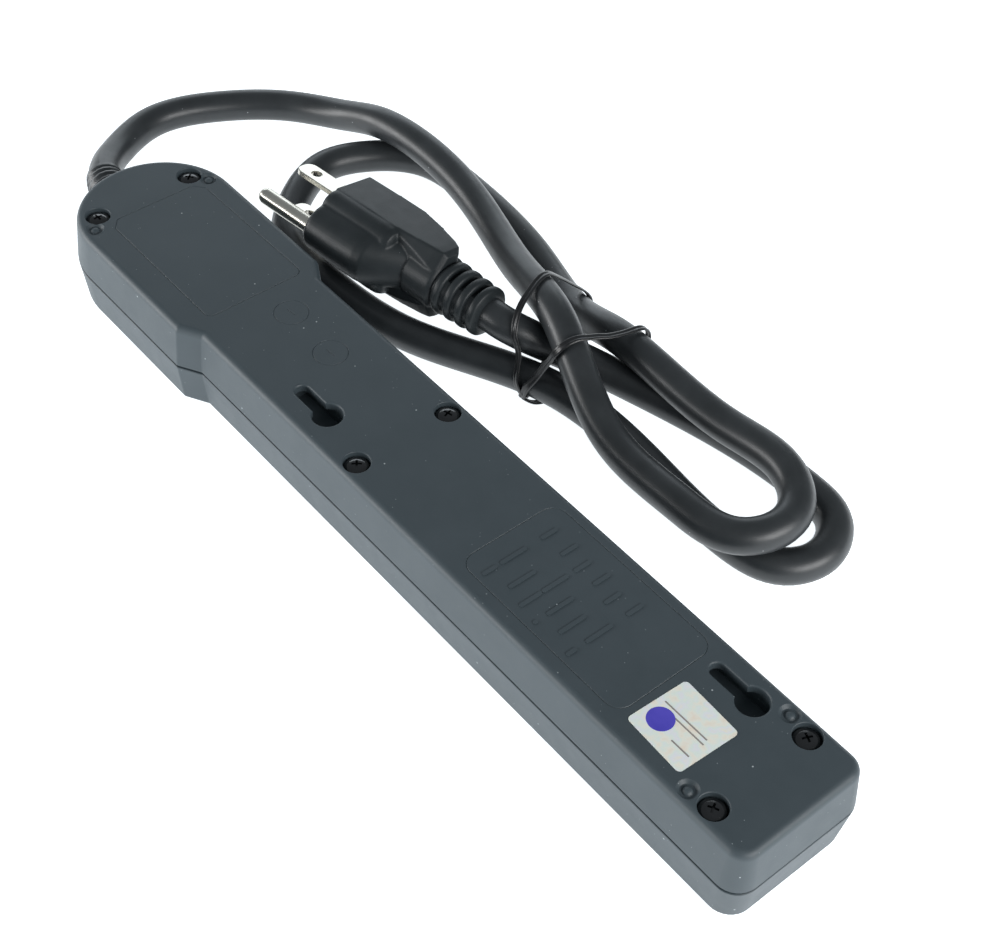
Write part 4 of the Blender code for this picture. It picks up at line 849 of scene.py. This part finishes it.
def as_mesh(curve):
    """The tube as one welded mesh in place of its curve."""
    bpy.context.view_layer.update()
    made = curve.evaluated_get(bpy.context.evaluated_depsgraph_get())
    name = curve.name
    mesh = bpy.data.meshes.new_from_object(made)
    bpy.data.objects.remove(curve, do_unlink=True)
    return settle(new_object(name, mesh), 60)


def power_cord():
    total = split_route()[1][-1]
    path = route_between(0.0090, total - 0.0004, 0.0018)
    cord = as_mesh(tube("mains_cord", path, CORD_RADIUS))
    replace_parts(paint(keep(cord), "cord"), "power_cord")
    return cord, path


def strain_relief():
    """The tapered boot outside the case and the neck and flange held inside it."""
    path = route_between(0.0, RELIEF_LENGTH, RELIEF_STEP)
    inside = [(EXIT[0] + RELIEF_STEP * (RELIEF_INSIDE - i), 0.0, SEAM_Z) for i in range(RELIEF_INSIDE)]
    points = inside + [tuple(point) for point in path]
    radii = []
    for i in range(len(points)):
        along = (i - RELIEF_INSIDE) * RELIEF_STEP
        radius = RELIEF_FLANGE_RADIUS if along < -0.0050 else RELIEF_NECK_RADIUS
        if along >= 0:
            radius = RELIEF_RADIUS - 0.0012 * along / RELIEF_LENGTH
            if 0.002 < along < 0.0135 and int(along / 0.0013) % 2:
                radius -= 0.0005
        radii.append(radius)
    boot = as_mesh(tube("case_strain_relief", points, RELIEF_RADIUS, radii))
    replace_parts(paint(keep(boot), "cord"), "cord_strain_relief")
    return boot


# ---------------------------------------------------------------- plug

def plug_place():
    along = Vector(PLUG_X).normalized()
    across = Vector(PLUG_Y)
    across = (across - along * across.dot(along)).normalized()
    up = along.cross(across)
    return Matrix.Translation(PLUG_ORIGIN) @ Matrix((along, across, up)).transposed().to_4x4()


def placed(obj):
    obj.data.transform(plug_place())
    return obj


def plug_wing():
    """The flat slab, with its rear corners cut and a chamfer that widens along the upper edge."""
    rings = []
    for x, low, top, half, cut_y, cut_z in (
            (0.0000, -0.0086, 0.0050, 0.0102, 0.0003, 0.0003),
            (-0.0120, -0.0087, 0.0052, 0.0105, 0.0004, 0.0004),
            (-0.0210, -0.0086, 0.0055, 0.0105, 0.0005, 0.0004),
            (-0.0300, -0.0066, 0.0058, 0.0105, 0.0016, 0.0024),
            (-0.0358, -0.0049, 0.0060, 0.0104, 0.0026, 0.0042),
            (-0.0384, -0.0036, 0.0058, 0.0102, 0.0030, 0.0050),
            (-0.0398, -0.0022, 0.0048, 0.0092, 0.0028, 0.0046)):
        rings.append([(x, low, -half), (x, top - cut_y, -half), (x, top, -half + cut_z), (x, top, half - cut_z),
                      (x, top - cut_y, half), (x, low, half)])
    return loft("plug_wing", rings)


def plug_lobe():
    """The rounded collar round the ground pin, with a rear face that slopes in."""
    rings = []
    for x, middle, width, height in (
            (0.0000, 0.0080, 0.0070, 0.0062), (-0.0005, 0.0082, 0.0076, 0.0068),
            (-0.0014, 0.0084, 0.0079, 0.0072), (-0.0100, 0.0084, 0.0080, 0.0075),
            (-0.0180, 0.0082, 0.0079, 0.0077), (-0.0208, 0.0078, 0.0077, 0.0077),
            (-0.0245, 0.0054, 0.0068, 0.0072), (-0.0290, 0.0024, 0.0056, 0.0064),
            (-0.0320, 0.0000, 0.0050, 0.0056)):
        rings.append([(x, middle + width * math.cos(angle), height * math.sin(angle))
                      for angle in np.linspace(0, 2 * math.pi, 41)[:-1]])
    return loft("plug_lobe", rings)


def plug_cheek(side):
    """The round shoulder above or below the lobe that ends in a lip."""
    rings = []
    for x, reach in ((0.0, 0.88), (-0.0006, 0.96), (-0.0016, 1.0), (-0.0200, 1.05), (-0.0228, 1.02), (-0.0243, 0.88),
                     (-0.0249, 0.6)):
        rings.append([(x, 0.0056 + 0.0046 * reach * math.cos(angle),
                       side * (0.0056 + 0.0046 * reach * math.sin(angle)))
                      for angle in np.linspace(0, 2 * math.pi, 33)[:-1]])
    return loft("plug_cheek", rings)


def plug_body():
    body = plug_wing()
    pieces = [plug_lobe(), plug_cheek(1), plug_cheek(-1)]
    neck = turned("plug_hub", [(0, 0.0300), (0.0080, 0.0300), (0.0078, 0.0388), (0.0070, 0.0398), (0, 0.0398)],
                  steps=40)
    neck.data.transform(Matrix.Rotation(-math.pi / 2, 4, "Y"))
    pieces.append(neck)
    for piece in pieces:
        boolean(body, piece, "UNION")
    remesh = body.modifiers.new("voxels", "REMESH")
    remesh.mode = "VOXEL"
    remesh.voxel_size = 0.00030
    smooth = body.modifiers.new("moulded_fillets", "SMOOTH")
    smooth.factor = 0.5
    smooth.iterations = 9
    settle(body, 180, pieces)
    body.modifiers.clear()
    pocket = loft("insert_pocket", [[(x, 0.0030 + (y - 0.0030) * 0.78, z * 0.78) for y, z in front_outline()]
                                    for x in (0.001, -0.0006)])
    boolean(body, pocket)
    settle(body, 60, [pocket])
    body.modifiers.clear()
    body.name = "plug_shell"
    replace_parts(paint(keep(placed(body)), "plug"), "plug_body")
    return body


def front_outline():
    corners = [(-0.0088, -0.0104, 0.0022), (0.0030, -0.0102, 0.0040), (0.0146, -0.0050, 0.0040),
               (0.0146, 0.0050, 0.0040), (0.0030, 0.0102, 0.0040), (-0.0088, 0.0104, 0.0022)]
    return fillet(corners)


def plug_boot():
    """The flexible boot: four discs on a core, with windows between them on two sides."""
    core = 0.0067
    profile = [(0, -0.0370), (core, -0.0370)]
    x = -0.0404
    for i in range(4):
        outer = 0.0077 - 0.0002 * i
        for radius, ahead in ((core, 0.0), (outer - 0.0005, -0.0001), (outer - 0.0001, -0.0005), (outer, -0.0010),
                              (outer, -0.0016), (outer - 0.0001, -0.0021), (outer - 0.0005, -0.0025),
                              (core, -0.0026)):
            profile.append((radius, x + ahead))
        x -= 0.0040
        core -= 0.0003
    profile = profile[:-1] + [(0.0058, -0.0551), (0.0050, -0.0555), (0, -0.0555)]
    boot = turned("plug_boot", profile, steps=48)
    boot.data.transform(Matrix.Rotation(math.pi / 2, 4, "Y"))
    spans = []
    for i in range(3):
        start = -0.0430 - 0.0040 * i
        for side in (-1, 1):
            low, high = sorted((side * 0.0044, side * 0.0090))
            spans.append(((start - 0.00142, -0.0046, low), (start + 0.00002, 0.0046, high)))
    windows = boxes("boot_windows", spans)
    boolean(boot, windows)
    settle(boot, 40, [windows])
    paint(keep(placed(boot)), "plug")
    return boot


def prongs():
    made = []
    for name, node, side in (("hot_blade", "plug_hot_blade", 1), ("neutral_blade", "plug_neutral_blade", -1)):
        z = side * BLADE_Z
        ring = fillet([(-0.0050, -0.003175, 0.0), (0.0175, -0.003175, 0.0026), (0.0175, 0.003175, 0.0026),
                       (-0.0050, 0.003175, 0.0)])
        inner = fillet([(-0.0050, -0.002975, 0.0), (0.0173, -0.002975, 0.0024), (0.0173, 0.002975, 0.0024),
                        (-0.0050, 0.002975, 0.0)])
        blade = loft(name, [[(x, y, z + way) for x, y in (inner if abs(way) > 0.0007 else ring)]
                            for way in (-0.00076, -0.00060, 0.00060, 0.00076)])
        hole = turned("blade_hole", [(0, -0.002), (0.0018, -0.002), (0.00158, -0.0005), (0.00158, 0.0005),
                                     (0.0018, 0.002), (0, 0.002)], [(0.0119, 0, z)], 32)
        boolean(blade, hole)
        settle(blade, 30, [hole])
        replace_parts(paint(keep(placed(blade)), "nickel"), node)
        made.append(blade)
    profile = [(0, 0.0203)]
    for angle in np.linspace(0.2, math.pi / 2, 8):
        profile.append((0.00238 * math.sin(angle), 0.0203 - 0.0024 * (1 - math.cos(angle))))
    profile += [(0.00238, -0.0050), (0, -0.0050)]
    pin = turned("ground_pin", profile, steps=40)
    pin.data.transform(Matrix.Translation((0, PIN_Y, 0)) @ Matrix.Rotation(math.pi / 2, 4, "Y"))
    settle(pin, 40)
    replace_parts(paint(keep(placed(pin)), "nickel"), "plug_ground_pin")
    return made + [pin]


# ---------------------------------------------------------------- tie

def hull(points):
    points = sorted(set(points))

    def half(run):
        chain = []
        for p in run:
            while len(chain) > 1 and ((chain[-1][0] - chain[-2][0]) * (p[1] - chain[-2][1])
                                      - (chain[-1][1] - chain[-2][1]) * (p[0] - chain[-2][0])) <= 0:
                chain.pop()
            chain.append(p)
        return chain[:-1]
    return half(points) + half(points[::-1])


def bundle_section(x, reach, fine):
    """(y, z) points on the outlines, reach away, of the strands that cross the plane at x."""
    ahead = fine[:, 0] - x
    ring = []
    for i in np.nonzero(ahead[:-1] * ahead[1:] < 0)[0]:
        if not 0.040 < fine[i, 1] < 0.082:
            continue
        way = Vector(fine[i + 1] - fine[i]).normalized()
        side = way.cross(Vector((0, 0, 1))).normalized()
        rise = side.cross(way)
        for angle in np.linspace(0, 2 * math.pi, 25)[:-1]:
            spoke = (side * math.cos(angle) + rise * math.sin(angle)) * reach
            spoke -= way * (spoke.x / way.x)
            ring.append((float(fine[i, 1]) + spoke.y, float(fine[i, 2]) + spoke.z))
    return ring


def tie_point(x, angle, fine, lift):
    """The point at this angle on a band pulled tight round the bundle, never below the surface."""
    outline = hull(bundle_section(x, CORD_RADIUS * 1.04 + lift, fine))
    cy = sum(p[0] for p in outline) / len(outline)
    cz = sum(p[1] for p in outline) / len(outline)
    way = (math.cos(angle), math.sin(angle))
    best = 0.0
    for (ay, az), (by, bz) in zip(outline, outline[1:] + outline[:1]):
        edge = (by - ay, bz - az)
        cross = way[0] * edge[1] - way[1] * edge[0]
        if abs(cross) < 1e-12:
            continue
        far = ((ay - cy) * edge[1] - (az - cz) * edge[0]) / cross
        share = ((ay - cy) * way[1] - (az - cz) * way[0]) / cross
        if far > 0 and -1e-9 <= share <= 1 + 1e-9:
            best = max(best, far)
    return (x, cy + best * way[0], max(cz + best * way[1], 0.0008))


def twist_tie():
    """A flat two-wire tie: two loops round the bundle that meet at the knot."""
    fine, _ = split_route()
    made = []
    twin = [(0.00105, 0.0), (0.00090, 0.00026), (0.00060, 0.00034), (0.00030, 0.00024), (0.0, 0.00010),
            (-0.00030, 0.00024), (-0.00060, 0.00034), (-0.00090, 0.00026), (-0.00105, 0.0), (-0.00090, -0.00026),
            (-0.00060, -0.00034), (-0.00030, -0.00024), (0.0, -0.00010), (0.00030, -0.00024), (0.00060, -0.00034),
            (0.00090, -0.00026)]
    for name, loop, reach in (("tie_loop_left", TIE_LOOPS[0], 0.0), ("tie_loop_right", TIE_LOOPS[1], 0.0004)):
        points = []
        for i in range(29):
            turn = 2 * math.pi * i / 28
            x = TIE_KNOT_X + (loop - TIE_KNOT_X) * math.sin(turn / 2)
            points.append(tie_point(x, TIE_KNOT_ANGLE - turn, fine, 0.0006 + reach))
        path = smooth_path(points, 0.0010)
        centre = path.mean(axis=0)
        band = sweep(name, path, twin, lambda point: np.array((0.0, point[1] - centre[1], point[2] - centre[2])))
        settle(band, 50)
        paint(keep(band), "tie")
        made.append(band)
    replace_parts(made[0], "twist_tie")
    return made


# ---------------------------------------------------------------- assembly

camera()
CORD, CORD_PATH = power_cord()
RELIEF = strain_relief()
studio()
for node, finish in CAD_FINISH.items():
    paint(bpy.data.objects[node], finish)
back_cover()
front_cover()
screws()
plate_bars()
sticker()
rocker()
PLUG = [plug_body(), plug_boot(), *prongs()]
TIE = twist_tie()
